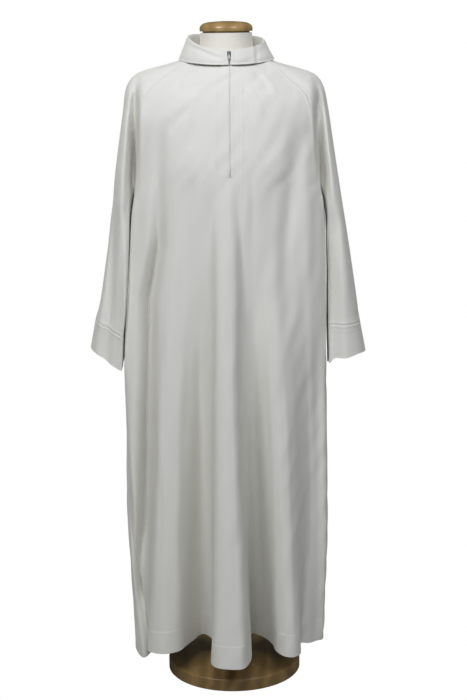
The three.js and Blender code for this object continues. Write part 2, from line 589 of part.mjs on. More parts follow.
// The collar runs from its end at the wearer's right of the zip round the neck to the other.
const COLLAR_COLUMNS = 30;
const COLLAR_STEPS = [1, 1, 2, 2, 1, 2];
function collarRing(ring) {
  const start = Math.asin(-ring.slit[0] / ring.width);
  const end = 2 * Math.PI - Math.asin(ring.slit[1] / ring.width);
  return Array.from(
    { length: COLLAR_COLUMNS + 1 },
    (_, i) => ringPoint(ring, mix(start, end, i / COLLAR_COLUMNS)));
}
const collar = panel(acrossRows(upColumns(COLLAR_RINGS.map(collarRing), COLLAR_STEPS), 1));
clothWall('collar', collar, COLLAR_CLOTH);

// ---------------------------------------------------------------- zip

const ZIP_TOP_X = 6;
const COIL_DEPTH = CLOTH + SEAM_GAP;
const TAPE_DEPTH = COIL_DEPTH + COIL_THICK + SEAM_GAP;

// The inner face of the stand at the height of a ring, moved back from it.
function standPoint(name, x, depth) {
  const ring = COLLAR_RINGS.find((row) => row.name === name);
  const point = ringPoint(ring, Math.asin(-x / ring.width));
  return point.add(vec(0, depth, 0));
}

// A strip of the zip: its rows lie behind the front as far as the neckline, then behind the
// stand. offsets are distances from the zip's line.
function zipStrip(offsets, depth, standDepth, rings) {
  const first = columnOf(FRONT_FOLDS, 'middle ridge');
  const last = columnOf(FRONT_FOLDS, 'wall left, top');
  const behind = moved(front, -depth).slice(ZIP_FOOT_ROW - 1)
    .map((row) => row.slice(first, last + 1));
  const at = (row, x) => {
    const place = Math.max(1, row.findIndex((point) => point.x >= x - 0.01));
    const [a, b] = [row[place - 1], row[place]];
    return vec(0, 0, 0).lerpVectors(a, b, (x - a.x) / (b.x - a.x));
  };
  const rows = behind.map((row) => {
    const slit = mix(row[SLIT_CELL - first].x, row[SLIT_CELL - first + 1].x, 0.5);
    return offsets.map((offset) => at(row, slit + offset));
  });
  rings.forEach((name) => rows.push(
    offsets.map((offset) => standPoint(name, ZIP_TOP_X + offset, standDepth))));
  return panel(rows);
}

function zip() {
  const half = ZIP_HALF - 1;
  const tape = zipStrip(
    [-half, 0, half], TAPE_DEPTH, TAPE_DEPTH - CLOTH, ['stand', 'fold, inside']);
  add('zip_tape', wall(tape.grid, moved(tape, -TAPE_THICK)), TAPE);
  const coil = zipStrip([-COIL_HALF, 0, COIL_HALF], COIL_DEPTH, SEAM_GAP, ['stand']);
  add('zip_coil', wall(coil.grid, moved(coil, -COIL_THICK)), TAPE);
}
zip();

// A closed body of box cells. filled(i, j, k) says which cells between the levels are solid.
function cells(xs, ys, zs, filled) {
  const positions = xs.flatMap((x) => ys.flatMap((y) => zs.flatMap((z) => [x, y, z])));
  const at = (i, j, k) => (i * ys.length + j) * zs.length + k;
  const within = (index, levels) => index >= 0 && index < levels.length - 1;
  const solid = (i, j, k) => within(i, xs) && within(j, ys) && within(k, zs) && filled(i, j, k);
  const faces = [];
  const quad = (a, b, c, d) => faces.push(a, b, c, a, c, d);
  const corner = (i, j, k) => (x, y, z) => at(i + x, j + y, k + z);
  for (let i = 0; i < xs.length - 1; i += 1) {
    for (let j = 0; j < ys.length - 1; j += 1) {
      for (let k = 0; k < zs.length - 1; k += 1) {
        if (!solid(i, j, k)) continue;
        const c = corner(i, j, k);
        if (!solid(i - 1, j, k)) quad(c(0, 0, 0), c(0, 0, 1), c(0, 1, 1), c(0, 1, 0));
        if (!solid(i + 1, j, k)) quad(c(1, 0, 0), c(1, 1, 0), c(1, 1, 1), c(1, 0, 1));
        if (!solid(i, j - 1, k)) quad(c(0, 0, 0), c(1, 0, 0), c(1, 0, 1), c(0, 0, 1));
        if (!solid(i, j + 1, k)) quad(c(0, 1, 0), c(0, 1, 1), c(1, 1, 1), c(1, 1, 0));
        if (!solid(i, j, k - 1)) quad(c(0, 0, 0), c(0, 1, 0), c(1, 1, 0), c(1, 0, 0));
        if (!solid(i, j, k + 1)) quad(c(0, 0, 1), c(1, 0, 1), c(1, 1, 1), c(0, 1, 1));
      }
    }
  }
  return meshFrom(positions, faces);
}

// The slider stands on the tape above the coil and leans with it. In its own frame x is across,
// -y is forward and z is up along the tape; the pull tab hangs in the loop of its bridge.
const [TAPE_FOOT, TAPE_TOP] = ['stand', 'fold, inside'].map(
  (name) => standPoint(name, ZIP_TOP_X, TAPE_DEPTH - CLOTH));
const SLIDER_LEAN = Math.atan2(TAPE_TOP.y - TAPE_FOOT.y, TAPE_TOP.z - TAPE_FOOT.z);

function onSlider(geometry) {
  const share = (SLIDER.z - TAPE_FOOT.z) / (TAPE_TOP.z - TAPE_FOOT.z);
  const seat = vec(0, 0, 0).lerpVectors(TAPE_FOOT, TAPE_TOP, share);
  geometry.translate(0, -SEAM_GAP, 0);
  geometry.rotateX(-SLIDER_LEAN);
  return geometry.translate(seat.x, seat.y, seat.z);
}

function slider() {
  const front = SLIDER.depth + BRIDGE.loop;
  const loopHalf = BRIDGE.reach - BRIDGE.bar;
  const body = cells(
    [-SLIDER.half, -BRIDGE.half, BRIDGE.half, SLIDER.half],
    [-front - BRIDGE.bar, -front, -SLIDER.depth, 0],
    [-SLIDER.reach, -BRIDGE.reach, -loopHalf, loopHalf, BRIDGE.reach, SLIDER.reach],
    (i, j, k) => {
      const bridge = i === 1 && k > 0 && k < 4;
      const loop = j === 1 && k === 2;
      return j === 2 || (bridge && !loop);
    });
  add('zip_slider', onSlider(body), NICKEL);
}
slider();

// The pull tab is a flat plate with an eye, narrower below the eye and round at its foot. Its
// outline is half a row of [x, z], mirrored.
function pullTab() {
  const right = [
    [0.5, -PULL.foot],
    [PULL.half - 0.9, -PULL.foot + 0.6],
    [PULL.half - 0.2, -PULL.foot + 2.4],
    [PULL.half - 0.4, -PULL.eyeFoot - 1.6],
    [PULL.half, -PULL.eyeFoot - 0.3],
    [PULL.half, PULL.bar],
  ];
  const left = right.map(([x, z]) => [-x, z]).reverse();
  const eye = [
    [-PULL.eyeHalf, -PULL.bar],
    [PULL.eyeHalf, -PULL.bar],
    [PULL.eyeHalf, -PULL.eyeFoot],
    [-PULL.eyeHalf, -PULL.eyeFoot],
  ];
  const flat = (points) => points.map(([x, z]) => new THREE.Vector2(x, z));
  const outline = new THREE.Shape(flat([...right, ...left]));
  outline.holes.push(new THREE.Path(flat(eye)));
  const plate = new THREE.ExtrudeGeometry(outline, { depth: PULL.thick, bevelEnabled: false });
  plate.rotateX(Math.PI / 2);
  plate.translate(0, -SLIDER.depth - (BRIDGE.loop - PULL.thick) / 2, 0);
  add('zip_pull', onSlider(plate), NICKEL);
}
pullTab();

// ---------------------------------------------------------------- dress form

const TORSO_SEGMENTS = 32;
const TORSO_SQUARENESS = 0.86;
function torsoRing(row) {
  return Array.from({ length: TORSO_SEGMENTS }, (_, k) => {
    const turn = (2 * Math.PI * k) / TORSO_SEGMENTS;
    const roundness = row.z > 1450 ? 1 : TORSO_SQUARENESS;
    const squared = (value) => Math.sign(value) * Math.abs(value) ** roundness;
    const depth = Math.cos(turn) > 0 ? row.front : row.back;
    return vec(row.half * squared(Math.sin(turn)), -depth * squared(Math.cos(turn)), row.z);
  });
}

function torso() {
  const rings = TORSO.map(torsoRing);
  const positions = rings.flat().flatMap((p) => [p.x, p.y, p.z]);
  const last = rings.length - 1;
  const faces = [];
  const at = (j, i) => j * TORSO_SEGMENTS + (i % TORSO_SEGMENTS);
  for (let j = 0; j < last; j += 1) {
    for (let i = 0; i < TORSO_SEGMENTS; i += 1) {
      faces.push(at(j, i), at(j, i + 1), at(j + 1, i + 1), at(j, i), at(j + 1, i + 1), at(j + 1, i));
    }
  }
  const footCentre = positions.length / 3;
  positions.push(0, 0, TORSO[0].z, 0, 0, TORSO[last].z);
  for (let i = 0; i < TORSO_SEGMENTS; i += 1) {
    faces.push(footCentre, at(0, i + 1), at(0, i));
    faces.push(footCentre + 1, at(last, i), at(last, i + 1));
  }
  add('form_torso', meshFrom(positions, faces), COVER);
}
torso();

function turned(name, profile, segments, finish) {
  const geometry = new THREE.LatheGeometry(profile, segments);
  geometry.rotateX(Math.PI / 2);
  add(name, geometry, finish);
}

const arc = (x, y, radius, from, to, count) => Array.from({ length: count + 1 }, (_, k) => {
  const turn = THREE.MathUtils.degToRad(mix(from, to, k / count));
  return new THREE.Vector2(x + radius * Math.cos(turn), y + radius * Math.sin(turn));
});
const point2 = (x, y) => new THREE.Vector2(x, y);

turned('form_base', [
  point2(0, 0),
  point2(BASE.radius - 1, 0),
  point2(BASE.radius, 1),
  ...arc(BASE.radius - BASE.edge, BASE.height - BASE.edge, BASE.edge, 0, 90, 3),
  point2(0, BASE.height),
], 48, OAK);

turned('form_pole', [
  point2(0, BASE.height + SEAM_GAP),
  point2(POLE.foot, BASE.height + SEAM_GAP),
  point2(POLE.foot, BASE.height + SEAM_GAP + 5),
  point2(POLE.radius + 2, BASE.height + POLE.footHeight),
  point2(POLE.radius, BASE.height + POLE.footHeight + 3),
  point2(POLE.radius, TORSO_FOOT_Z - SEAM_GAP),
  point2(0, TORSO_FOOT_Z - SEAM_GAP),
], 24, OAK);

turned('form_cap', [
  point2(0, NECK_TOP_Z + SEAM_GAP),
  point2(CAP.stem, NECK_TOP_Z + SEAM_GAP),
  point2(CAP.stem, CAP.underside),
  point2(CAP.radius - 0.8, CAP.underside),
  point2(CAP.radius, CAP.underside + 1),
  point2(CAP.radius, CAP.underside + 7),
  point2(CAP.radius - 2.4, CAP.underside + 12.5),
  point2(CAP.radius - 8, CAP.underside + 17),
  point2(CAP.radius - 20, CAP.underside + 20.2),
  point2(0, CAP.top),
], 40, OAK);

export default alb;
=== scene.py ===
"""A full-length alb with raglan sleeves, a fold-over collar and a short front zip, on a limbless
dress form. Lengths in the tables are millimetres; every mesh is in metres, in the frame of the
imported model: origin under the middle of the base, +Z up, the garment faces -Y.
"""

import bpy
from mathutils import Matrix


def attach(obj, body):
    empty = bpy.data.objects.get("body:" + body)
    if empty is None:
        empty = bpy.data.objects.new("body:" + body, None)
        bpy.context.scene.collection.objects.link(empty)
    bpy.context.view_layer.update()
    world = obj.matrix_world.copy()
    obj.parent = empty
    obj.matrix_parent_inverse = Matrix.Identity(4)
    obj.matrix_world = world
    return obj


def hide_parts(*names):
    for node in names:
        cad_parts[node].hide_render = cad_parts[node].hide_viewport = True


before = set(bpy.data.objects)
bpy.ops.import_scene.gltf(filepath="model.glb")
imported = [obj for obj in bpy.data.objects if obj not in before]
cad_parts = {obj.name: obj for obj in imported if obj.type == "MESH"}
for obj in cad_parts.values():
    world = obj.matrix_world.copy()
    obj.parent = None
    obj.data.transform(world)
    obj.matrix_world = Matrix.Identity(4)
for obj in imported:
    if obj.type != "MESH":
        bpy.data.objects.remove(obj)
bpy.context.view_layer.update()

import math

import bpy
import numpy as np
from bpy.props import FloatProperty, FloatVectorProperty, PointerProperty
from mathutils import Matrix

bl_info = {
    "name": "Alb on a dress form",
    "version": (1, 0, 0),
    "blender": (4, 5, 0),
    "location": "View3D > Sidebar > Alb",
    "description": "Builds a zipped alb on a limbless dress form, with its folds, seams and stand",
    "category": "Add Mesh",
}

MM = 0.001
BODY = "alb_on_form"

# ------------------------------------------------------------------ the garment's tables

HEM_Z, KNEE_Z, HIP_Z, CHEST_Z, UNDERARM_Z = 90, 400, 710, 1172, 1115
CHEST_HALF = 222
ZIP_FOOT_X, ZIP_NECK_X, ZIP_TOP_X, ZIP_HALF = 4.9, 7.8, 6, 13
SLIT_HALF = 0.8  # half of what lies between the two fold lines beside the zip's slit
SLIT_CLOSE = 0.5  # how far each edge of the slit moves to shut it
HEM_DEPTH = 54
HEM_GAP, HEM_CLOTH = 0.9, 0.8  # the turn-up behind the wall
CUFF_DOUBLE = 0.5  # what a doubled cuff is thicker by
COLLAR_CLOTH = 1.9
FALL_TUCK, FALL_TUCK_FROM = 1.4, 14  # the fall's edge turns in over its last stretch
TAPE_CLOTH, TAPE_DEPTH, TAPE_STAND_DEPTH = 0.6, 3.8, 2.0  # behind the front, behind the stand
COIL_DEPTH, COIL_STAND_DEPTH, COIL_PITCH = 2.8, 1.0, 1.5
METAL_EDGE = 0.18

# In metres: stitch rows from their free edge or seam, and what stands proud beside them.
BODY_STITCH, CUFF_STITCH, HEM_STITCH, COLLAR_STITCH = HEM_DEPTH * MM, 0.017, 0.004, 0.006
TURN_UP_STEP, SEAM_RIDGE, CUFF_RIDGE = 0.0011, 0.0006, 0.0008

# Each fold line from the wearer's right side seam (-X) to the left: x and f (forward) at the
# hem, the knee, the hip and the chest, and how far the hem hangs below HEM_Z there.
FRONT_FOLDS = (  # name, hem x and f, knee, hip, chest, drop
    ("side seam right", -196, 78, -240, 66, -243, 20, -222, 0, 20),
    ("side right", -199, 90, -224, 86, -243, 74, -214, 66, 8),
    ("valley right", -202, 104, -199, 88, -192, 92, -156, 114, 2),
    ("ridge right, edge", -204, 126, -184, 116, -170, 114, -132, 122, 0),
    ("ridge right", -170, 149, -158, 140, -146, 131, -108, 131, -2),
    ("ridge right, inner", -138, 140, -130, 128, -118, 124, -86, 137, -2),
    ("slope right", -108, 84, -108, 92, -94, 109, -66, 142, 0),
    ("valley mid right", -80, 46, -86, 72, -71, 103, -50, 145, -2),
    ("wall right, foot", -54, 54, -54, 84, -47, 116, -38, 147, 0),
    ("wall right, top", -48, 220, -40, 196, -32, 172, -26, 149, 0),
    ("middle ridge", -10, 238, -12, 212, -11, 184, -8.1, 151, 0),
    ("zip right", 14, 237, 7.2, 210, 2.6, 183, 4.1, 151, 1),
    ("zip left", 15.6, 236.8, 8.8, 209.8, 4.2, 182.8, 5.7, 151, 1),
    ("wall left, top", 37, 222, 23, 198, 14, 174, 17.9, 150, 0),
    ("wall left, foot", 44, 58, 38, 90, 30, 122, 32, 148, 0),
    ("valley mid left", 64, 46, 62, 72, 54, 105, 46, 146, -2),
    ("slope left", 90, 88, 86, 102, 78, 116, 66, 142, 0),
    ("ridge left, inner", 103, 140, 99, 135, 92, 131, 86, 137, 2),
    ("ridge left", 130, 164, 118, 152, 108, 140, 106, 131, 4),
    ("ridge left, edge", 156, 150, 140, 142, 130, 131, 130, 121, 4),
    ("valley left", 160, 88, 180, 92, 174, 98, 152, 113, 2),
    ("side left, ridge", 186, 95, 196, 94, 191, 96, 180, 98, 6),
    ("side left", 213, 74, 223, 66, 220, 66, 214, 68, 6),
    ("side seam left", 214.5, 0, 224, 2, 222, 0, 222, 0, 4),
)
BACK_FOLDS = (
    ("side seam left", 214.5, 0, 224, -2, 222, 0, 222, 0, 4),
    ("side left", 210, 76, 215, 72, 213, 72, 208, 66, 2),
    ("ridge left, edge", 176, 148, 170, 140, 160, 128, 152, 110, 0),
    ("ridge left", 134, 158, 128, 148, 120, 136, 110, 121, 0),
    ("valley left", 88, 96, 80, 106, 72, 117, 66, 127, -2),
    ("wall left, foot", 52, 86, 46, 102, 40, 118, 38, 129, -2),
    ("middle ridge, left", 30, 178, 24, 160, 20, 145, 14, 131, 0),
    ("middle ridge, right", -24, 184, -24, 164, -20, 147, -14, 131, 0),
    ("wall right, foot", -50, 90, -46, 104, -42, 118, -38, 129, -2),
    ("valley right", -90, 98, -84, 107, -76, 117, -68, 127, -2),
    ("ridge right", -130, 154, -124, 144, -118, 133, -110, 121, 0),
    ("ridge right, edge", -176, 146, -168, 136, -160, 125, -154, 109, 0),
    ("back corner right", -220, 78, -226, 76, -224, 74, -210, 66, 4),
    ("side right, back", -240, 8, -247, 14, -238, 34, -218, 36, 18),
    ("side right", -229, -72, -250, -34, -243, 0, -221, 16, 28),
    ("side right, front", -214, -98, -246, -58, -244, -12, -222, 6, 28),
    ("side seam right", -196, -78, -240, -66, -243, -20, -222, 0, 20),
)
FRONT_YOKE = (  # right, left, edge f, edge z, corner f, mid f, mid z, bow
    (213, 211, 40, 1185, 69, 146, 1240, 2.8),  # armhole
    (204, 200, 64, 1270, 80, 140, 1290, 2.7),  # breast
    (197, 190, 83, 1339, 88, 131, 1346, 2.5),  # upper breast
    (182, 178, 80, 1384, 83, 121, 1385, 2.3),  # shoulder front
    (145, 139, 70, 1422, 72, 109, 1416, 2.1),  # collarbone
    (97, 102, 56, 1454, 58, 98, 1439, 2.0),  # neck base
)
BACK_YOKE = (  # right, left, edge f, edge z, corner f, mid f, mid z, bow
    (212, 210, 44, 1188, 68, 131, 1236, 2.9),  # armhole
    (202, 198, 68, 1274, 82, 129, 1298, 2.9),  # shoulder blade
    (192, 186, 84, 1346, 89, 122, 1362, 2.6),  # upper back
    (170, 166, 82, 1398, 85, 112, 1408, 2.4),  # shoulder back
    (132, 129, 71, 1434, 73, 98, 1442, 2.2),  # nape
    (94, 95, 52, 1459, 54, 82, 1465, 2.0),  # neck base
)
SHOULDER = (  # right reach, z, left reach, z, groove share, f, ridge share, f, turn share, f
    (260, 1195, 254, 1190, 0.16, 46, 0.5, 77, 0.9, 54),  # armhole
    (247, 1280, 241, 1275, 0.2, 50, 0.56, 70, 0.9, 46),  # breast
    (236, 1358, 229, 1354, 0.26, 64, 0.62, 60, 0.9, 36),  # upper breast
    (226.5, 1406, 218.5, 1401, 0.4, 71, 0.72, 55, 0.93, 29),  # shoulder point
    (206, 1431.5, 201, 1426.5, 0.38, 65, 0.71, 50, 0.92, 27),  # shoulder
    (124, 1456.5, 124, 1453, 0.38, 52, 0.71, 40, 0.92, 21),  # neck base
)
SLEEVE_RIGHT = (  # in, out, front, back, lean, then z at eight turns
    (222.7, 271, 78, 82, 0.40, 1115, 1114, 1112, 1111, 1110, 1111, 1112, 1114),  # underarm
    (231.5, 287, 80, 80, 0.16, 1000, 1000, 1000, 1000, 1000, 1000, 1000, 1000),  # elbow
    (237.5, 303, 80, 76, 0.10, 908, 905, 906, 908, 909, 907, 904, 903),  # forearm
    (245, 314, 79, 72, 0.09, 848, 836, 841, 868, 872, 850, 822, 810),  # cuff seam
    (248, 328, 78, 72, 0.10, 778, 766, 762, 799, 803, 794, 778, 748),  # cuff edge
)
SLEEVE_LEFT = (  # in, out, front, back, lean, then z at eight turns
    (222.7, 267, 78, 82, 0.40, 1115, 1114, 1112, 1111, 1110, 1111, 1112, 1114),  # underarm
    (226, 283, 80, 80, 0.40, 1000, 1000, 1000, 1000, 1000, 1000, 1000, 1000),  # elbow
    (226, 298, 80, 78, 0.34, 905, 906, 906, 906, 906, 905, 903, 903),  # forearm
    (227, 304, 80, 76, 0.28, 832, 856, 860, 862, 863, 848, 830, 820),  # cuff seam
    (228, 318, 80, 76, 0.26, 760, 786, 798, 793, 789, 779, 762, 748),  # cuff edge
)
COLLAR_RINGS = (  # width, front, back, z front, right, back, left, slit right, left
    (78.2, 88.2, 68.2, 1452.8, 1468.9, 1479.9, 1468.9, 4.8, 10.6),  # stand foot
    (80.5, 85.2, 72.6, 1468, 1491, 1498, 1485, 2.0, 10.8),  # stand
    (83.6, 80.4, 77.2, 1482.6, 1511.6, 1513.6, 1501.6, 1.2, 11.2),  # fold, inside
    (86.0, 82.8, 79.6, 1486, 1515, 1517, 1505, 1.2, 11.2),  # fold
    (88.4, 85.2, 82.0, 1482.6, 1511.6, 1513.6, 1501.6, 1.2, 11.0),  # fold, outside
    (98.0, 93.0, 91.0, 1469.5, 1489, 1490, 1482, 2.4, 10.0),  # fall
    (108.5, 99.5, 98.5, 1454.5, 1464.5, 1467, 1463.4, 5.2, 8.6),  # fall edge
)
TORSO = (  # z, half width, front, back
    (800, 150, 92, 98),  # foot
    (850, 170, 104, 116),  # seat
    (920, 170, 106, 116),  # hip
    (1050, 148, 96, 98),  # waist
    (1160, 164, 108, 102),  # ribs
    (1270, 180, 118, 110),  # chest
    (1340, 192, 108, 104),  # arm
    (1380, 197, 98, 94),  # shoulder end
    (1411, 190, 88, 84),  # shoulder
    (1431.4, 173, 78, 76),  # shoulder top
    (1447, 134, 70, 67),  # slope
    (1457.6, 96, 65, 62),  # neck slope
    (1466, 70, 62, 59),  # neck foot
    (1486, 61.5, 60, 58),  # neck
    (1522.2, 58, 58, 57),  # neck top
)
BASE_RADIUS, BASE_HEIGHT, BASE_ROUND = 160, 30, 5
POLE = ((0, 30.3), (34, 30.3), (34, 35.3), (26, 39.5), (20.5, 43), (18.2, 46), (17.5, 49),
        (17.5, 799.7), (0, 799.7))  # radius, z
CAP = ((0, 1522.5), (53, 1522.5), (53, 1525.6), (58.9, 1525.6), (59.5, 1526), (59.7, 1526.8),
       (59.7, 1532.4), (59.2, 1534.8), (58.1, 1537), (55.6, 1540), (51.7, 1542.6),
       (46, 1544.6), (39.7, 1545.8), (26, 1547), (12, 1547.7), (0, 1548))  # radius, z
RAGLAN_NECK_X = {"front": 74, "back": 72}
NECKLINE = (80, 90, 70, 1452, 1468, 1479, 1468)

# ------------------------------------------------------------------ the stage's tables, in metres

CAMERA_PLACE = (0.007543, -3.546681, 1.555066)
CAMERA_TILT, CAMERA_ROLL = math.radians(12.169), math.radians(-0.73)
CAMERA_LENS, CAMERA_SENSOR = 79.263, 36
DAY_LIGHT, SKY_LIGHT = (0.95, 0.955, 1), (0.89, 0.92, 1)
LIGHTS = (  # name, place, height looked at, size, share of the key light, colour, seen in gloss
    ("Key left", (-1.9, -2.75, 3.5), 1.5, 1.5, 1.13, DAY_LIGHT, True),
    ("Key right", (1.9, -2.75, 3.4), 1.5, 1.5, 0.77, SKY_LIGHT, True),
    ("Front", (-0.3, -2.5, 3.6), 1.4, 1.2, 0.6, DAY_LIGHT, False),
    ("Back left", (-2.3, 2.7, 3.1), 1.4, 1.2, 0.75, DAY_LIGHT, False),
    ("Back right", (2.3, 2.7, 3.1), 1.4, 1.2, 0.65, DAY_LIGHT, False),
)
ROOM_LIGHT, ROOM_STRENGTH = (1, 1, 0.82, 1), 0.10
FLOOR_HALF = 9000

# ------------------------------------------------------------------ surfaces


def spline(points, params):
    """Reads smooth lines through points (n, lines, 3) at params counted in spans from 0.

    Each span is a cubic from one point to the next. Its end tangents weigh the chords on both
    sides by the square roots of their lengths, and a line goes on straight past its ends.
    """
    points = np.asarray(points, float)
    full = np.concatenate([2 * points[:1] - points[1:2], points, 2 * points[-1:] - points[-2:-1]])
    params = np.asarray(params, float)
    span = np.minimum(params.astype(int), len(points) - 2)
    share = (params - span)[:, None, None]
    p0, p1, p2, p3 = (full[span + k] for k in range(4))

    def chord(a, b):
        """The square root of the distance between points."""
        return np.sum((b - a) ** 2, axis=-1, keepdims=True) ** 0.25

    d1 = chord(p1, p2)
    d1 = np.where(d1 < 1e-4, 1.0, d1)
    d0 = chord(p0, p1)
    d0 = np.where(d0 < 1e-4, d1, d0)
    d2 = chord(p2, p3)
    d2 = np.where(d2 < 1e-4, d1, d2)
    t1 = ((p1 - p0) / d0 - (p2 - p0) / (d0 + d1) + (p2 - p1) / d1) * d1
    t2 = ((p2 - p1) / d1 - (p3 - p1) / (d1 + d2) + (p3 - p2) / d2) * d1
    square = -3 * p1 + 3 * p2 - 2 * t1 - t2
    cube = 2 * p1 - 2 * p2 + t1 + t2
    return p1 + share * (t1 + share * (square + share * cube))


def across(columns, params):
    """Reads each row of a grid (rows, lines, 3) across its lines, at params counted in spans."""
    return spline(np.swapaxes(columns, 0, 1), params).swapaxes(0, 1)


def steps(counts):
    """Params that cut span k into counts[k] equal parts, with the last end included."""
    parts = [k + np.arange(count) / count for k, count in enumerate(counts)]
    return np.append(np.concatenate(parts), float(len(counts)))


def normals(grid):
    """Unit normals of a grid: the cross product of the step to the right and the step up."""
    right = np.gradient(grid, axis=1)
    up = np.gradient(grid, axis=0)
    cross = np.cross(right, up)
    return cross / np.maximum(np.linalg.norm(cross, axis=-1, keepdims=True), 1e-9)


def pushed(grid, distance):
    """The grid moved out along its normals by a distance for each point."""
    return grid + normals(grid) * np.broadcast_to(distance, grid.shape[:2])[..., None]


def arc_length(grid, axis):
    """How far each point of a grid lies along its row (axis 1) or column (axis 0)."""
    step = np.linalg.norm(np.diff(grid, axis=axis), axis=-1)
    first = np.zeros_like(np.take(step, [0], axis=axis))
    return np.concatenate([first, np.cumsum(step, axis=axis)], axis=axis)


def smooth(value):
    """0 below 0, 1 above 1, and 3t^2 - 2t^3 between."""
    t = np.clip(value, 0, 1)
    return t * t * (3 - 2 * t)


def troughs(u, v, lines):
    """Soft troughs and ridges drawn on a plane. A line is (points, width, depth). Its push is
    the depth times exp(-(d / width)^2), where d is the distance to the line, and it dies away
    over the first and last quarter of the line.
    """
    push = np.zeros_like(u)
    for points, width, depth in lines:
        points = np.asarray(points, float)
        lengths = np.linalg.norm(np.diff(points, axis=0), axis=1)
        starts = np.concatenate([[0], np.cumsum(lengths)])
        nearest = np.full(u.shape, 1e9)
        along = np.zeros_like(u)
        for k, (a, b) in enumerate(zip(points[:-1], points[1:])):
            du, dv = (b - a) / lengths[k]
            t = np.clip((u - a[0]) * du + (v - a[1]) * dv, 0, lengths[k])
            distance = np.hypot(u - a[0] - t * du, v - a[1] - t * dv)
            closer = distance < nearest
            nearest = np.where(closer, distance, nearest)
            along = np.where(closer, (starts[k] + t) / starts[-1], along)
        fade = smooth(4 * along) * smooth(4 * (1 - along))
        push += depth * fade * np.exp(-((nearest / width) ** 2))
    return push


def ripple(u, v, wide, tall, depth, seed):
    """Gentle unevenness: eight sine waves of random direction, about wide by tall in size."""
    rng = np.random.default_rng(seed)
    total = np.zeros_like(u)
    for _ in range(8):
        a, b = rng.normal(size=2)
        phase = rng.uniform(0, 2 * math.pi)
        total += np.sin(2 * math.pi * (a * u / wide + b * v / tall) + phase)
    return depth * total / 4


# ------------------------------------------------------------------ the alb's own shapes


def ring_point(ring, turn):
    """Points of a ring round the neck: an ellipse over turn, 0 at the front and growing towards
    the wearer's right, whose height swings from front to back and rises at the two sides.
    """
    width, front, back, z_front, z_right, z_back, z_left = ring[:7]
    level = (z_front + z_back) / 2
    side = np.where(np.sin(turn) > 0, z_right, z_left)
    return np.stack([
        -width * np.sin(turn),
        (back - front) / 2 - (back + front) / 2 * np.cos(turn),
        level - (z_back - z_front) / 2 * np.cos(turn) + (side - level) * np.sin(turn) ** 2,
    ], axis=-1)


def neck_turn(x, on_back):
    """The turn round the neckline, 0 at the front, at which a point of the given x stands."""
    turn = np.arcsin(-np.asarray(x, float) / NECKLINE[0])
    return math.pi - turn if on_back else turn


def yoke_x(chest_x, right, left, foot, neck, half, share):
    """Where columns of the chest stand in a ring of the yoke: what lies over the zip keeps its
    width and leans with it, and the rest shrinks with the ring.
    """
    side = np.where(chest_x < foot, -1.0, 1.0)
    lean = (neck - foot) * share
    fixed = foot + side * half
    reach = np.where(side < 0, -right, left)
    out = (chest_x - fixed) / (side * CHEST_HALF - fixed)
    return np.where((chest_x - fixed) * side <= 0.01, chest_x + lean,
                    (fixed + lean) * (1 - out) + reach * out)


def body_net(folds, yoke, facing, slit):
    """Control points of the front (facing -1) or back (facing 1): rings by fold lines."""
    rows = np.array([fold[1:] for fold in folds], float)
    chest = rows[:, 6]
    drop = UNDERARM_Z - CHEST_Z
    net = [
        np.stack([rows[:, 0], facing * rows[:, 1], HEM_Z - rows[:, 8]], axis=1),
        np.stack([rows[:, 2], facing * rows[:, 3], np.full(len(rows), KNEE_Z)], axis=1),
        np.stack([rows[:, 4], facing * rows[:, 5], np.full(len(rows), HIP_Z)], axis=1),
        np.stack([chest, facing * rows[:, 7],
                  CHEST_Z + drop * (np.abs(chest) / CHEST_HALF) ** 6], axis=1),
    ]
    beside = chest[np.abs(chest) < CHEST_HALF]
    corners = np.array([beside.min(), beside.max()])
    for level, (right, left, edge_f, edge_z, corner_f, mid_f, mid_z, bow) in enumerate(yoke):
        share = (level + 1) / (len(yoke) + 1)
        x = yoke_x(chest, right, left, *slit, share)
        edge = np.where(x < 0, right, left)
        height = mid_z + (edge_z - mid_z) * (np.abs(x) / edge) ** bow
        corner = np.abs(yoke_x(corners, right, left, *slit, share))
        out = np.abs(x) / np.where(x < 0, corner[0], corner[1])
        forward = mid_f + (corner_f - mid_f) * out ** bow
        forward[[0, -1]] = edge_f
        net.append(np.stack([x, facing * forward, height], axis=1))
    on_back = facing > 0
    neck_x = RAGLAN_NECK_X["back" if on_back else "front"]
    x = yoke_x(chest, neck_x, neck_x, *slit, 1.0)
    net.append(ring_point(NECKLINE, neck_turn(x, on_back)))
    return np.stack(net)


def shoulder_ring(side, front_end, back_end, row):
    """Nine points over the shoulder: seam, groove, ridge, turn, top, and back the same way."""
    reach, z = row[:2] if side < 0 else row[2:4]
    top = np.array([side * reach, 2.0, z])
    groups = [row[4:6], row[6:8], row[8:10]]

    def half(end, facing):
        """The groove, ridge and turn, each at its share of the way from the end to the top."""
        return [np.array([end[0] + (top[0] - end[0]) * share, facing * depth,
                          end[2] + (top[2] - end[2]) * share]) for share, depth in groups]

    return [front_end, *half(front_end, -1), top, *half(back_end, 1)[::-1], back_end]


SLEEVE_TURNS = np.radians([180, 126, 90, 45, 0, -45, -90, -126, -180])
SQUARE = 0.86


def squared(value, power=SQUARE):
    """A sine or cosine drawn towards a square: its size to a power of 1 or less, its sign kept."""
    return np.sign(value) * np.abs(value) ** power


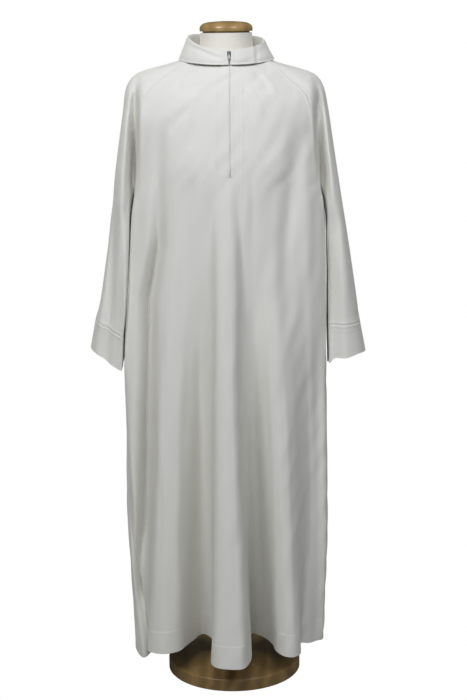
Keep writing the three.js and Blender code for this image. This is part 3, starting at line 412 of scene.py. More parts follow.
def sleeve_ring(side, row):
    """A ring of the hanging sleeve: a squared ellipse whose front edge leans inwards."""
    inner, outer, front, back, lean = row[:5]
    heights = np.array([*row[5:], row[5]], float)
    half = (outer - inner) / 2
    out = squared(np.cos(SLEEVE_TURNS))
    forward = squared(np.sin(SLEEVE_TURNS))
    shift = (lean - 0.5) * 2 * half * forward * (1 - np.abs(out))
    depth = np.where(forward > 0, front, back)
    return np.stack([side * ((inner + outer) / 2 + half * out + shift),
                     -forward * depth, heights], axis=1)


FAR = 1e3  # farther than any stitch row or seam
UNDERARM_RING = 3
BODY_SPANS = (44, 32, 40, 10, 9, 8, 6, 7, 6, 4)
HANGING_SPANS = (10, 14, 18)
ZIP_FOOT_PARAM = 3.5


def body_columns():
    """Front and back read up their fold lines, with their side seams shared to the underarm.

    Returns the params of the rows, the columns and the nets, in the order front, back.
    """
    params = steps(BODY_SPANS)
    nets = (body_net(FRONT_FOLDS, FRONT_YOKE, -1, (ZIP_FOOT_X, ZIP_NECK_X, ZIP_HALF)),
            body_net(BACK_FOLDS, BACK_YOKE, 1, (0, 0, 0)))
    front, back = (spline(net, params) for net in nets)
    below = params <= UNDERARM_RING
    for a, b in ((0, -1), (-1, 0)):
        shared = (front[below, a] + back[below, b]) / 2
        front[below, a] = shared
        back[below, b] = shared
    return params, front, back, nets


def cell_counts(net, size=6.5):
    """How many cells each span between two fold lines gets, by its greatest width."""
    width = np.linalg.norm(np.diff(net[:3], axis=1), axis=-1).max(axis=0)
    counts = np.maximum(np.ceil(width / size), 2).astype(int)
    return np.where(width < 3, 1, counts)


def sleeve_columns(side, hanging, body):
    """A sleeve and its cuff read up nine lines, the raglan edges taken from the body."""
    params, front, back, nets = body
    front_at = 0 if side < 0 else -1
    back_at = -1 if side < 0 else 0
    rings = [sleeve_ring(side, row) for row in hanging][::-1]
    net = rings[1:]
    for k, row in enumerate(SHOULDER):
        ring = UNDERARM_RING + 1 + k
        net.append(shoulder_ring(side, nets[0][ring, front_at], nets[1][ring, back_at], row))
    start = neck_turn(side * RAGLAN_NECK_X["front"], False)
    end = neck_turn(side * RAGLAN_NECK_X["back"], True) - (0 if side < 0 else 2 * math.pi)
    net.append(ring_point(NECKLINE, start + (end - start) * np.linspace(0, 1, 9)))
    yoke = params > UNDERARM_RING
    reading = np.append(steps(HANGING_SPANS), params[yoke])
    tube = spline(np.array(net, float), reading)
    count = int(yoke.sum())
    tube[-count:, 0] = front[yoke, front_at]
    tube[-count:, -1] = back[yoke, back_at]
    cuff = spline(np.array(rings[:2], float), steps((16,)))
    if side < 0:
        return tube[:, ::-1], cuff[:, ::-1]
    return tube, cuff


def collar_grid():
    """The collar: rings up the stand, over the fold and down the fall."""
    rings = []
    for ring in COLLAR_RINGS:
        start = math.asin(-ring[7] / ring[0])
        end = 2 * math.pi - math.asin(ring[8] / ring[0])
        rings.append(ring_point(ring, np.linspace(start, end, 201)))
    return spline(np.array(rings), steps((5, 6, 4, 4, 7, 12)))

# ------------------------------------------------------------------ meshes


def shell_faces(solid):
    """Quads of a closed shell on a grid of cells: the outer face, the inner face and a rim
    round every border. solid says which cells are there. Inner vertices follow the outer ones.
    """
    rows, columns = solid.shape
    index = np.arange((rows + 1) * (columns + 1)).reshape(rows + 1, columns + 1)
    inside = index.size
    corners = [index[:-1, :-1], index[:-1, 1:], index[1:, 1:], index[1:, :-1]]
    outer = np.stack([corner[solid] for corner in corners], axis=1)
    faces = [outer, (outer + inside)[:, ::-1]]
    padded = np.pad(solid, 1)
    beside = [padded[:-2, 1:-1], padded[1:-1, 2:], padded[2:, 1:-1], padded[1:-1, :-2]]
    for k, neighbour in enumerate(beside):
        border = solid & ~neighbour
        p, q = corners[k][border], corners[(k + 1) % 4][border]
        faces.append(np.stack([q, p, p + inside, q + inside], axis=1))
    return np.concatenate(faces)


def closed_faces(count, segments):
    """Faces of a body of count rings: walls between them, and fans to the middles of its foot
    and top, which are the two vertices after the rings'. A fan's face repeats its last corner.
    """
    at = np.arange(count * segments).reshape(count, segments)
    beside = np.roll(at, -1, axis=1)
    foot, top = np.full(segments, at.size), np.full(segments, at.size + 1)
    walls = np.stack([at[:-1], beside[:-1], beside[1:], at[1:]], axis=-1).reshape(-1, 4)
    return np.concatenate([walls, np.stack([beside[0], at[0], foot, foot], 1),
                           np.stack([at[-1], beside[-1], top, top], 1)])


def mesh_object(name, vertices, faces, maps=None, seam=None, sharp=50):
    """An object from arrays in millimetres. A triangle is a face that repeats its last corner.
    maps are UV coordinates and seam distances from a sewn line, per vertex, in metres.
    """
    used, inverse = np.unique(faces.reshape(-1), return_inverse=True)
    keep = np.ones(faces.shape, bool)
    keep[:, 3] = faces[:, 2] != faces[:, 3]
    loops = inverse.reshape(-1)[keep.reshape(-1)]
    sizes = keep.sum(axis=1)
    mesh = bpy.data.meshes.new(name)
    mesh.vertices.add(len(used))
    mesh.vertices.foreach_set("co", (vertices[used] * MM).astype(np.float32).reshape(-1))
    mesh.loops.add(len(loops))
    mesh.loops.foreach_set("vertex_index", loops.astype(np.int32))
    mesh.polygons.add(len(sizes))
    mesh.polygons.foreach_set("loop_start", (np.cumsum(sizes) - sizes).astype(np.int32))
    if maps is not None:
        layer = mesh.uv_layers.new(name="Cloth")
        layer.data.foreach_set("uv", maps[used][loops].astype(np.float32).reshape(-1))
        layer = mesh.attributes.new("seam", "FLOAT", "POINT")
        layer.data.foreach_set("value", seam[used].astype(np.float32))
    mesh.update(calc_edges=True)
    mesh.validate()
    mesh.shade_smooth()
    mesh.set_sharp_from_angle(angle=math.radians(sharp))
    obj = bpy.data.objects.new(name, mesh)
    bpy.context.scene.collection.objects.link(obj)
    return obj


def shell(name, outer, thick, normal=None, solid=None, edge=None, run=None, seam=None):
    """A thin closed shell whose outer face is the grid, thick millimetres inwards. edge is how
    far a point lies from the free edge, run how far along it and seam how far from a sewn line.
    """
    normal = normals(outer) if normal is None else normal
    inner = outer - normal * thick
    solid = np.ones((outer.shape[0] - 1, outer.shape[1] - 1), bool) if solid is None else solid
    edge = arc_length(outer, 0) if edge is None else edge
    run = arc_length(outer, 1) if run is None else run
    seam = np.full(edge.shape, 100.0) if seam is None else seam
    maps = np.stack([run, edge], axis=-1).reshape(-1, 2) * MM
    vertices = np.concatenate([outer.reshape(-1, 3), inner.reshape(-1, 3)])
    seams = np.tile(seam.reshape(-1) * MM, 2)
    return mesh_object(name, vertices, shell_faces(solid), np.tile(maps, (2, 1)), seams)


def revolve(name, profile, segments, sharp=35):
    """A closed body turned round the Z axis from (radius, z) points whose ends lie on it."""
    profile = np.asarray(profile, float)
    turn = np.linspace(0, 2 * math.pi, segments, endpoint=False)
    rings = profile[1:-1]
    points = np.stack([rings[:, :1] * np.cos(turn), rings[:, :1] * np.sin(turn),
                       np.repeat(rings[:, 1:], segments, axis=1)], axis=-1)
    return tube(name, points, profile[0, 1], profile[-1, 1], sharp)


def tube(name, rings, foot_z, top_z, sharp):
    """A closed body from rings that run anticlockwise seen from above, foot ring first."""
    middle = [[*rings[0].mean(axis=0)[:2], foot_z], [*rings[-1].mean(axis=0)[:2], top_z]]
    vertices = np.concatenate([rings.reshape(-1, 3), middle])
    return mesh_object(name, vertices, closed_faces(*rings.shape[:2]), sharp=sharp)


def finish_piece(obj, body, slot, material, *nodes):
    """Gives a piece its material and its body, and hides the solids that it stands for. slot is not
    used.
    """
    obj.data.materials.clear()
    obj.data.materials.append(material)
    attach(obj, body)
    if nodes:
        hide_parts(*nodes)
    return obj


# ------------------------------------------------------------------ materials


def node(tree, kind, inputs=None, **settings):
    """A node with its settings, and its inputs set or linked by name or place."""
    made = tree.nodes.new(kind)
    for key, value in settings.items():
        setattr(made, key, value)
    for key, value in (inputs or {}).items():
        if isinstance(value, bpy.types.NodeSocket):
            tree.links.new(value, made.inputs[key])
        else:
            made.inputs[key].default_value = value
    return made


def math_node(tree, operation, *values):
    """The output of a math node on values that are numbers or sockets."""
    return node(tree, "ShaderNodeMath", dict(enumerate(values)), operation=operation).outputs[0]


def product(tree, first, *others):
    """The output of math nodes that multiply the values in order."""
    for value in others:
        first = math_node(tree, "MULTIPLY", first, value)
    return first


def total(tree, first, *others):
    """The output of math nodes that add the values in order."""
    for value in others:
        first = math_node(tree, "ADD", first, value)
    return first


def bump(tree, shader, height, strength=1.0):
    """Tilts a shader's normal by a height in metres."""
    made = node(tree, "ShaderNodeBump", {"Height": height, "Distance": 1.0,
                                         "Strength": strength})
    tree.links.new(made.outputs[0], shader.inputs["Normal"])


def group(name, inputs, outputs):
    """A new shader node group with its sockets. Returns (tree, its input sockets, its end)."""
    tree = bpy.data.node_groups.new(name, "ShaderNodeTree")
    for label, kind, value in inputs:
        socket = tree.interface.new_socket(name=label, in_out="INPUT", socket_type=kind)
        if value is not None:
            socket.default_value = value
    for label, kind in outputs:
        tree.interface.new_socket(name=label, in_out="OUTPUT", socket_type=kind)
    start = tree.nodes.new("NodeGroupInput")
    return tree, start.outputs, tree.nodes.new("NodeGroupOutput").inputs


def use(tree, name, inputs):
    """The outputs of a shared group used in a tree. It is made the first time it is used."""
    makers = {"Twill Weave": weave_group, "Soft Groove": groove_group,
              "Stitch Row": stitch_group, "Oak": oak_group}
    shared = bpy.data.node_groups.get(name) or makers[name]()
    return node(tree, "ShaderNodeGroup", inputs, node_tree=shared).outputs


def weave_group():
    """Twill: diagonal ribs broken by the crossing threads, in a map measured in metres."""
    tree, start, end = group("Twill Weave", [
        ("Map", "NodeSocketVector", None),
        ("Threads", "NodeSocketFloat", 1100.0),
        ("Depth", "NodeSocketFloat", 0.00004),
    ], [("Height", "NodeSocketFloat")])
    split = node(tree, "ShaderNodeSeparateXYZ", {0: start["Map"]}).outputs
    turns = product(tree, start["Threads"], 2 * math.pi)
    rib = math_node(tree, "SINE", product(tree, total(tree, split["X"], split["Y"]), turns))
    cross = math_node(tree, "SINE", product(tree, split["X"], turns))
    both = total(tree, rib, product(tree, cross, 0.4))
    tree.links.new(product(tree, both, start["Depth"]), end["Height"])
    return tree


def groove_group():
    """A soft groove along a line: -Depth * exp(-((Distance - Offset) / Width)^2)."""
    tree, start, end = group("Soft Groove", [
        ("Distance", "NodeSocketFloat", 0.0),
        ("Offset", "NodeSocketFloat", 0.0),
        ("Width", "NodeSocketFloat", 0.002),
        ("Depth", "NodeSocketFloat", 0.001),
    ], [("Height", "NodeSocketFloat"), ("Mask", "NodeSocketFloat")])
    away = math_node(tree, "SUBTRACT", start["Distance"], start["Offset"])
    share = math_node(tree, "DIVIDE", away, start["Width"])
    bell = math_node(tree, "EXPONENT", product(tree, share, share, -1.0))
    tree.links.new(bell, end["Mask"])
    tree.links.new(product(tree, bell, product(tree, start["Depth"], -1.0)), end["Height"])
    return tree


def stitch_group():
    """A row of stitches at Offset from a line: a groove whose threads rise in it by Pitch."""
    tree, start, end = group("Stitch Row", [
        ("Distance", "NodeSocketFloat", 0.0),
        ("Along", "NodeSocketFloat", 0.0),
        ("Offset", "NodeSocketFloat", 0.006),
        ("Pitch", "NodeSocketFloat", 0.0028),
        ("Depth", "NodeSocketFloat", 0.0004),
    ], [("Height", "NodeSocketFloat"), ("Mask", "NodeSocketFloat")])
    row = use(tree, "Soft Groove", {"Distance": start["Distance"], "Offset": start["Offset"],
                                    "Width": 0.0011, "Depth": start["Depth"]})
    turns = product(tree, math_node(tree, "DIVIDE", start["Along"], start["Pitch"]), 2 * math.pi)
    thread = math_node(tree, "MULTIPLY_ADD", math_node(tree, "SINE", turns), 0.35, 0.65)
    tree.links.new(product(tree, row["Height"], thread), end["Height"])
    tree.links.new(row["Mask"], end["Mask"])
    return tree


def oak_group():
    """Oak: long rings bent by noise, with fine pores along the grain."""
    tree, start, end = group("Oak", [
        ("Vector", "NodeSocketVector", None),
        ("Light", "NodeSocketColor", (0.5, 0.3, 0.15, 1)),
        ("Dark", "NodeSocketColor", (0.25, 0.13, 0.06, 1)),
        ("Rings", "NodeSocketFloat", 30.0),
    ], [("Colour", "NodeSocketColor"), ("Height", "NodeSocketFloat")])
    along = node(tree, "ShaderNodeMapping", {"Vector": start["Vector"], "Scale": (1, 0.12, 1)})
    bend = node(tree, "ShaderNodeTexNoise", {"Vector": along.outputs[0], "Scale": 9.0,
                                            "Detail": 3.0}).outputs[0]
    split = node(tree, "ShaderNodeSeparateXYZ", {0: along.outputs[0]}).outputs
    place = math_node(tree, "MULTIPLY_ADD", bend, 0.12, split["X"])
    wave = math_node(tree, "SINE", product(tree, place, start["Rings"], 2 * math.pi))
    pores = node(tree, "ShaderNodeTexNoise", {"Vector": along.outputs[0], "Scale": 420.0,
                                             "Detail": 2.0}).outputs[0]
    tone = total(tree, math_node(tree, "MULTIPLY_ADD", wave, 0.28, 0.5),
                 math_node(tree, "MULTIPLY_ADD", pores, 0.7, -0.35))
    mixed = node(tree, "ShaderNodeMix", {0: tone, 6: start["Light"], 7: start["Dark"]},
                 data_type="RGBA")
    tree.links.new(mixed.outputs[2], end["Colour"])
    tree.links.new(product(tree, pores, 0.0002), end["Height"])
    return tree


def surface(name, inputs):
    """A material with a principled shader. Returns (material, tree, shader)."""
    made = bpy.data.materials.new(name)
    made.use_nodes = True
    tree = made.node_tree
    shader = tree.nodes["Principled BSDF"]
    for key, value in inputs.items():
        shader.inputs[key].default_value = value
    return made, tree, shader


def object_place(tree):
    """The object's own coordinates, in metres."""
    return node(tree, "ShaderNodeTexCoord").outputs["Object"]


def cloth_material(name, colour, stitch, stitched_from_seam=False, turn_up=0.0,
                   ridge=SEAM_RIDGE):
    """Cotton and polyester twill. stitch is how far its stitch row lies from the free edge, or
    from the seam, and turn_up how much the doubled cloth between that row and the edge stands
    proud. ridge is the height of the allowances pressed to one side beside a seam.
    """
    made, tree, shader = surface(name, {"Roughness": 0.86, "Sheen Weight": 0.12,
                                        "Sheen Roughness": 0.5, "Specular IOR Level": 0.25})
    where = node(tree, "ShaderNodeUVMap", uv_map="Cloth").outputs[0]
    along, edge = node(tree, "ShaderNodeSeparateXYZ", {0: where}).outputs[:2]
    seam = node(tree, "ShaderNodeAttribute", attribute_name="seam").outputs["Fac"]
    weave = use(tree, "Twill Weave", {"Map": where})
    join = use(tree, "Soft Groove", {"Distance": seam, "Width": 0.0022, "Depth": 0.0003})
    row = use(tree, "Stitch Row", {"Distance": seam if stitched_from_seam else edge,
                                   "Along": along, "Offset": stitch})
    swell = use(tree, "Soft Groove", {"Distance": seam, "Offset": 0.0045, "Width": 0.0032,
                                      "Depth": -ridge})
    height = total(tree, *(part["Height"] for part in (weave, join, row, swell)))
    if turn_up:
        step = node(tree, "ShaderNodeMapRange", {
            "Value": edge, "From Min": stitch - 0.001, "From Max": stitch + 0.0015,
            "To Min": turn_up, "To Max": 0.0}, interpolation_type="SMOOTHSTEP")
        height = total(tree, height, step.outputs[0])
    bump(tree, shader, height, 0.9)
    tone = node(tree, "ShaderNodeTexNoise", {"Vector": where, "Scale": 7.0, "Detail": 2.0})
    patchy = node(tree, "ShaderNodeMapRange", {
        "Value": tone.outputs[0], "To Min": 0.985, "To Max": 1.0}).outputs[0]
    # Painted shade: the cloth's colour is darkened by 3% in each seam's groove and by 5% along each
    # stitch row.
    dark = math_node(tree, "SUBTRACT", patchy, product(tree, join["Mask"], 0.03))
    dark = math_node(tree, "SUBTRACT", dark, product(tree, row["Mask"], 0.05))
    tinted = node(tree, "ShaderNodeVectorMath", {0: tuple(colour), "Scale": dark},
                  operation="SCALE")
    tree.links.new(tinted.outputs[0], shader.inputs["Base Color"])
    return made


def cover_material(colour):
    """The form's plain cotton cover, mapped by the object's own coordinates."""
    made, tree, shader = surface("Form cover", {
        "Roughness": 0.9, "Specular IOR Level": 0.2, "Base Color": (*colour, 1)})
    weave = use(tree, "Twill Weave", {"Map": object_place(tree), "Threads": 700.0,
                                      "Depth": 6e-5})
    bump(tree, shader, weave["Height"])
    return made


def wood_material(name, light, dark, rings, roughness, coat):
    """Varnished oak."""
    made, tree, shader = surface(name, {"Roughness": roughness, "Coat Weight": coat,
                                        "Coat Roughness": 0.2})
    oak = use(tree, "Oak", {"Vector": object_place(tree), "Light": (*light, 1),
                            "Dark": (*dark, 1), "Rings": rings})
    tree.links.new(oak["Colour"], shader.inputs["Base Color"])
    bump(tree, shader, oak["Height"])
    return made


def metal_material(name, dull, bright):
    """Nickel plate with fine wear between two tones."""
    made, tree, shader = surface(name, {"Metallic": 1.0})
    wear = node(tree, "ShaderNodeTexNoise", {"Vector": object_place(tree),
                                             "Scale": 900.0}).outputs[0]
    rough = node(tree, "ShaderNodeMapRange", {"Value": wear, "To Min": 0.3, "To Max": 0.5})
    tree.links.new(rough.outputs[0], shader.inputs["Roughness"])
    tint = node(tree, "ShaderNodeMix", {0: wear, 6: (*dull, 1), 7: (*bright, 1)},
                data_type="RGBA")
    tree.links.new(tint.outputs[2], shader.inputs["Base Color"])
    return made


def tape_material(name, colour, threads):
    """Woven zip tape or its nylon coil, ribbed on the plane of x and z."""
    made, tree, shader = surface(name, {
        "Roughness": 0.6, "Specular IOR Level": 0.4, "Base Color": (*colour, 1)})
    split = node(tree, "ShaderNodeSeparateXYZ", {0: object_place(tree)}).outputs
    flat = node(tree, "ShaderNodeCombineXYZ", {0: split["X"], 1: split["Z"]}).outputs[0]
    weave = use(tree, "Twill Weave", {"Map": flat, "Threads": threads, "Depth": 6e-5})
    bump(tree, shader, weave["Height"])
    return made


def stage_material():
    """A white sweep that stays white to the eye and throws a little light back."""
    made, tree, shader = surface("Studio floor", {
        "Roughness": 0.9, "Base Color": (0.3, 0.3, 0.29, 1)})
    glow = node(tree, "ShaderNodeEmission", {"Color": (1, 1, 1, 1), "Strength": 1.0})
    seen = node(tree, "ShaderNodeLightPath").outputs["Is Camera Ray"]
    both = node(tree, "ShaderNodeMixShader", {0: seen, 1: shader.outputs[0], 2: glow.outputs[0]})
    tree.links.new(both.outputs[0], tree.nodes["Material Output"].inputs["Surface"])
    return made


# ------------------------------------------------------------------ pieces of the garment

# Troughs (depth below 0) and ridges pressed into the cloth, drawn on the plane of x and z:
# points, half width and depth.
FRONT_CREASES = (
    # long troughs and ridges of the skirt, from the wearer's right to the left
    (((-148, 1400), (-155, 1224), (-154, 1157), (-163, 1044), (-186, 930), (-189, 750)), 15, -6),
    (((-154, 1240), (-160, 1060), (-186, 930), (-189, 813), (-194, 695), (-199, 576), (-206, 454),
      (-214, 331), (-220, 207), (-224, 60)), 14, -42),
    (((-156, 840), (-162, 704), (-169, 585), (-176, 465), (-182, 343), (-187, 160)), 9, 6),
    (((-222, 780), (-226, 693), (-234, 573), (-237, 420)), 8, 3),
    (((-83, 1260), (-89, 1161), (-102, 1049), (-107, 936), (-109, 821)), 13, -3),
    (((-116, 860), (-118, 693), (-118, 573), (-120, 452), (-122, 328), (-127, 100)), 15, 7),
    (((-31, 1230), (-32, 1170), (-41, 1045), (-53, 931), (-64, 815)), 12, -4),
    (((-70, 1000), (-71, 815), (-69, 567), (-71, 445), (-73, 321), (-74, 0), (-76, -200)), 16, -15),
    (((16, 1220), (19, 1170), (26, 1044), (31, 929), (37, 800)), 10, -4),
    (((31, 780), (34, 638), (36, 472), (38, 300), (41, 100), (43, -100)), 10, -30),
    (((46, 905), (54, 786), (55, 565), (54, 443), (53, 319), (51, 100), (50, -200)), 13, -9),
    (((49, 1240), (55, 1160), (52, 1070)), 8, -1.6),
    (((39, 1210), (43, 1120)), 6, 1),
    (((84, 960), (83, 813), (85, 695), (87, 576), (88, 455), (90, 333), (91, 100)), 14, 7),
    (((119, 860), (123, 752), (127, 658), (131, 516), (135, 371), (139, 223), (142, 20)), 6, 3),
    (((146, 900), (152, 760), (157, 650), (161, 516), (164, 371), (166, 223), (170, -100)), 10, -3),
    (((161, 1370), (155, 1289), (139, 1156), (127, 1044), (128, 930), (136, 800)), 21, -9),
    (((184, 1340), (178, 1200), (176, 1040), (182, 900)), 15, 3),
    (((176, 940), (172, 691), (174, 571), (176, 449), (178, 326), (181, 201), (190, -200)),
     18, -9),
    (((202, 960), (200, 700), (200, 400), (202, -200)), 20, -25),
    # the drag of the shoulders, and the hollow round the neck
    (((-44, 1418), (-66, 1412), (-98, 1397), (-129, 1372), (-152, 1338)), 9, -3),
    (((-54, 1392), (-92, 1376), (-118, 1356), (-142, 1326)), 8, 2.2),
    (((-76, 1362), (-108, 1340), (-132, 1306)), 8, -2),
    (((31, 1408), (48, 1370), (62, 1326)), 6, -2),
    (((40, 1412), (64, 1383), (82, 1340)), 6, 1.6),
    (((54, 1442), (78, 1420), (97, 1390)), 7, -2.2),
    (((74, 1442), (98, 1412), (114, 1376)), 7, 1.6),
    (((-86, 1444), (-107, 1418), (-113, 1394)), 7, -2.2),
    # the edges of the zip's facing show through
    (((-23, 1462), (-24, 1336), (-27, 1150)), 2.6, 0.9),
    (((32, 1462), (33, 1336), (31, 1150)), 2.6, 0.9),
    # small puckers
    (((-211, 384), (-195, 359), (-186, 334)), 5, -1.6),
    (((-209, 356), (-191, 324), (-182, 300)), 5, -1.6),
    (((6, 414), (17, 390), (30, 366)), 5, -1.4),
    (((-4, 384), (12, 357)), 5, -1.2),
    (((82, 417), (110, 377), (124, 348)), 5, -1.6),
    (((91, 382), (113, 347)), 4, -1.2),
    (((-190, 832), (-184, 819), (-172, 819), (-166, 832)), 2.4, 0.8),
    # the hollows where the sleeves hang in front of the armholes
    (((-196, 1450), (-208, 1378), (-212, 1311), (-214, 1233), (-220, 1130)), 9, -20),
    (((-206, 1330), (-214, 1233), (-224, 1080), (-234, 900)), 6, -6),
    (((-188, 1400), (-195, 1300), (-201, 1150)), 6, 4),
    (((196, 1440), (206, 1372), (211, 1306), (216, 1227), (222, 1130)), 9, -20),
    (((188, 1390), (195, 1300), (201, 1160)), 6, 4),
    (((-221, 1400), (-230, 1313), (-242, 1235), (-251, 1156)), 9, 3),
    (((-254, 1240), (-266, 1040), (-275, 924), (-286, 820), (-300, 680)), 11, -16),
    (((232, 1190), (238, 1040), (244, 924), (250, 700)), 12, -9),
    (((256, 1190), (265, 1040), (274, 900)), 10, 3),
    # the sleeve at the wearer's right lies flush against the body
    (((-206, 1230), (-215, 1154), (-229, 1040), (-240, 924), (-247, 820), (-254, 690)), 9, 10),
)
COLLAR_CREASES = (
    (((-104, 1508), (-80, 1495), (-49, 1482), (-23, 1471), (6, 1462)), 5, -3.2),
    (((-88, 1500), (-62, 1492), (-36, 1483), (-12, 1474)), 4.5, 2.2),
    (((-72, 1508), (-40, 1493), (-9, 1478)), 4.5, -1.8),
    (((66, 1520), (68, 1485), (69, 1463), (72, 1440)), 4, -2),
    (((58, 1520), (60, 1485), (60, 1463), (62, 1440)), 4, 1.4),
    (((104, 1512), (83, 1487), (58, 1466), (20, 1452)), 7, -1.6),
    (((6, 1560), (6, 1500), (6, 1470), (6, 1380)), 15, -3),
)
BACK_CREASES = (
    (((-146, 1350), (-132, 1200), (-120, 1040), (-116, 880), (-112, 500)), 18, -13),
    (((150, 1340), (138, 1180), (126, 1020), (118, 900), (112, 520)), 18, -13),
    (((-18, 1390), (-26, 1240), (-34, 1080), (-42, 900)), 13, -8),
    (((30, 1400), (34, 1260), (42, 1110), (46, 905)), 13, -8),
    (((70, 1330), (84, 1160), (90, 1010), (92, 700)), 10, 5),
    (((-66, 1330), (-80, 1160), (-84, 1010), (-88, 700)), 10, 4),
    (((56, 1446), (98, 1412), (132, 1368)), 9, -1.7),
    (((-58, 1446), (-98, 1416), (-128, 1376)), 8, -1.5),
    (((-8, 424), (8, 394), (24, 366)), 5, -1.2),
    (((98, 402), (118, 370)), 5, -1.2),
    (((-205, 1412), (-206, 1340), (-210, 1250), (-216, 1160)), 8, -8),
    (((204, 1410), (206, 1330), (210, 1250), (214, 1160)), 8, -8),
)


def share_normals(*sides):
    """Gives two sewn edges, as views of their panels' normals, one normal between them."""
    mean = sides[0] + sides[1]
    mean /= np.linalg.norm(mean, axis=-1, keepdims=True)
    for side in sides:
        side[...] = mean


def pressed(points):
    """How far the creases of the front and the back move points along y, on every panel."""
    x, y, z = np.moveaxis(points, -1, 0)
    move = np.zeros(x.shape)
    for creases, side in ((FRONT_CREASES, -1), (BACK_CREASES, 1)):
        move += side * troughs(x, z, creases) * smooth(side * y / 30)
    return move


CORNER_Z, CORNER_TOP = 1080, 1130
SLEEVE_CORNERS = {  # side, x at CORNER_Z, height for 1 mm of lean, move across, move back
    "right": (-1, -230, 14, 3.2, 0),
    "left": (1, 226, -22, -8, 14),
}
MOUTH_DROP, MOUTH_RISE = 19, 12  # of the left cuff, in front and behind
RIPPLE_WIDE, RIPPLE_TALL, RIPPLE_DEPTH, FIRST_SEED = 130, 420, 1.3, 3
SEAM_CALM, CUFF_CALM = 30, 25  # the cloth lies even this near to a seam or a cuff
ZIP_STITCH = 1.5  # from the slit


def beside_body(name, grid):
    """Moves a sleeve's inner front corner: the right one over to the body, and the left one
    back behind it. The left cuff's mouth also drops in front and rises behind. Each move fades
    in over smooth steps across, up and forward.
    """
    x, y, z = np.moveaxis(grid.copy(), -1, 0)
    side, inner_x, lean, across_by, back_by = SLEEVE_CORNERS[name.split("_")[1]]
    inner = inner_x - (CORNER_Z - z) / lean
    near = smooth((30 - side * (x - inner)) / 25)
    near = near * smooth((CORNER_TOP - z) / 60) * smooth((-y - 35) / 30)
    grid[..., 0] += across_by * near
    grid[..., 1] += back_by * near
    if name == "cuff_left":
        low = smooth((x - 224) / 16) * smooth((308 - x) / 50) * np.clip((850 - z) / 60, 0, 1)
        behind, ahead = smooth((y - 5) / 40), smooth((-y - 5) / 40)
        grid[..., 2] += low * (MOUTH_RISE * behind - MOUTH_DROP * ahead)


def fold_index(name):
    """The place of a named fold line of the front."""
    return [fold[0] for fold in FRONT_FOLDS].index(name)


def slit_column():
    """The column of the front's grid at the wearer's right of the zip's slit."""
    return int(cell_counts(body_columns()[3][0])[:fold_index("zip right")].sum())


def panel_grids():
    """The sewn panels' grids by name, before their creases, with the zip's slit shut."""
    body = body_columns()
    params, front, back, nets = body
    grids = {"front": across(front, steps(cell_counts(nets[0]))),
             "back": across(back, steps(cell_counts(nets[1])))}
    for side, name, table in ((-1, "right", SLEEVE_RIGHT), (1, "left", SLEEVE_LEFT)):
        sleeve, cuff = sleeve_columns(side, table, body)
        grids["sleeve_" + name] = across(sleeve, steps((9,) * 8))
        grids["cuff_" + name] = across(cuff, steps((9,) * 8))
    slit = slit_column()
    above = smooth(3 * (params - ZIP_FOOT_PARAM))
    grids["front"][:, slit, 0] += SLIT_CLOSE * above
    grids["front"][:, slit + 1, 0] -= SLIT_CLOSE * above
    return grids


def cloth_panels(crease):
    """Every sewn panel as {name: {grid, normal, seam, edge, run}}, with creases pressed in."""
    params = steps(BODY_SPANS)
    underarm = int((params <= UNDERARM_RING).sum()) - 1
    panels = {name: {"grid": grid, "normal": normals(grid)}
              for name, grid in panel_grids().items()}
    sew_panels(panels, underarm)
    for seed, (name, panel) in enumerate(panels.items(), FIRST_SEED):
        grid = panel["grid"]
        run, up = arc_length(grid, 1), arc_length(grid, 0)
        seam = np.minimum(np.minimum(run, run[:, -1:] - run), up[-1:] - up)
        calm = smooth(seam / SEAM_CALM)
        if name.startswith("sleeve"):
            seam = np.minimum(seam, up)
            calm = calm * smooth(up / CUFF_CALM)
        if name == "front":
            slit = slit_column()
            middle = (run[:, slit] + run[:, slit + 1])[:, None] / 2
            beside = np.abs(run - middle) - ZIP_STITCH
            beside[params < ZIP_FOOT_PARAM] = FAR
            seam = np.minimum(seam, np.abs(beside))
        if name.startswith("cuff"):
            calm = np.zeros(run.shape)
        uneven = calm * ripple(run, up, RIPPLE_WIDE, RIPPLE_TALL, RIPPLE_DEPTH, seed)
        panel["grid"] = grid + panel["normal"] * (uneven * crease)[..., None]
        panel["grid"][..., 1] += pressed(grid) * crease
        if name not in ("front", "back"):
            beside_body(name, panel["grid"])
        panel["normal"] = normals(panel["grid"])
        edge = up + FAR if name.startswith("sleeve") else up
        panel.update(seam=seam, edge=edge, run=run - run[:, -1:] / 2)
    sew_panels(panels, underarm)
    return panels


def sew_panels(panels, underarm):
    """Joins the normals of the sewn edges. underarm is the row of front and back there."""
    front, back = panels["front"]["normal"], panels["back"]["normal"]
    share_normals(front[:underarm + 1, 0], back[:underarm + 1, -1])
    share_normals(front[:underarm + 1, -1], back[:underarm + 1, 0])
    rows = len(front) - underarm - 1
    for name, body_front, body_back in (("right", 0, -1), ("left", -1, 0)):
        sleeve, cuff = panels["sleeve_" + name]["normal"], panels["cuff_" + name]["normal"]
        hanging = len(sleeve) - rows
        share_normals(sleeve[:hanging, 0], sleeve[:hanging, -1])
        share_normals(cuff[:, 0], cuff[:, -1])
        share_normals(sleeve[0], cuff[-1])
        share_normals(sleeve[hanging:, 0 if name == "left" else -1],
                      front[underarm + 1:, body_front])
        share_normals(sleeve[hanging:, -1 if name == "left" else 0],
                      back[underarm + 1:, body_back])


def behind_front(offsets, depth):
    """Rows of points behind the front at offsets from the zip's line, from the zip's foot up."""
    params, front = body_columns()[:2]
    offsets = np.asarray(offsets, float)
    middle = fold_index("middle ridge") + 1.5
    out = np.clip((np.abs(offsets) - SLIT_HALF) / (ZIP_HALF - SLIT_HALF), 0, 1)
    place = middle + np.sign(offsets) * (0.5 + out)
    place = np.where(np.abs(offsets) < SLIT_HALF, middle + offsets / (2 * SLIT_HALF), place)
    return pushed(across(front[params >= ZIP_FOOT_PARAM], place), -depth)


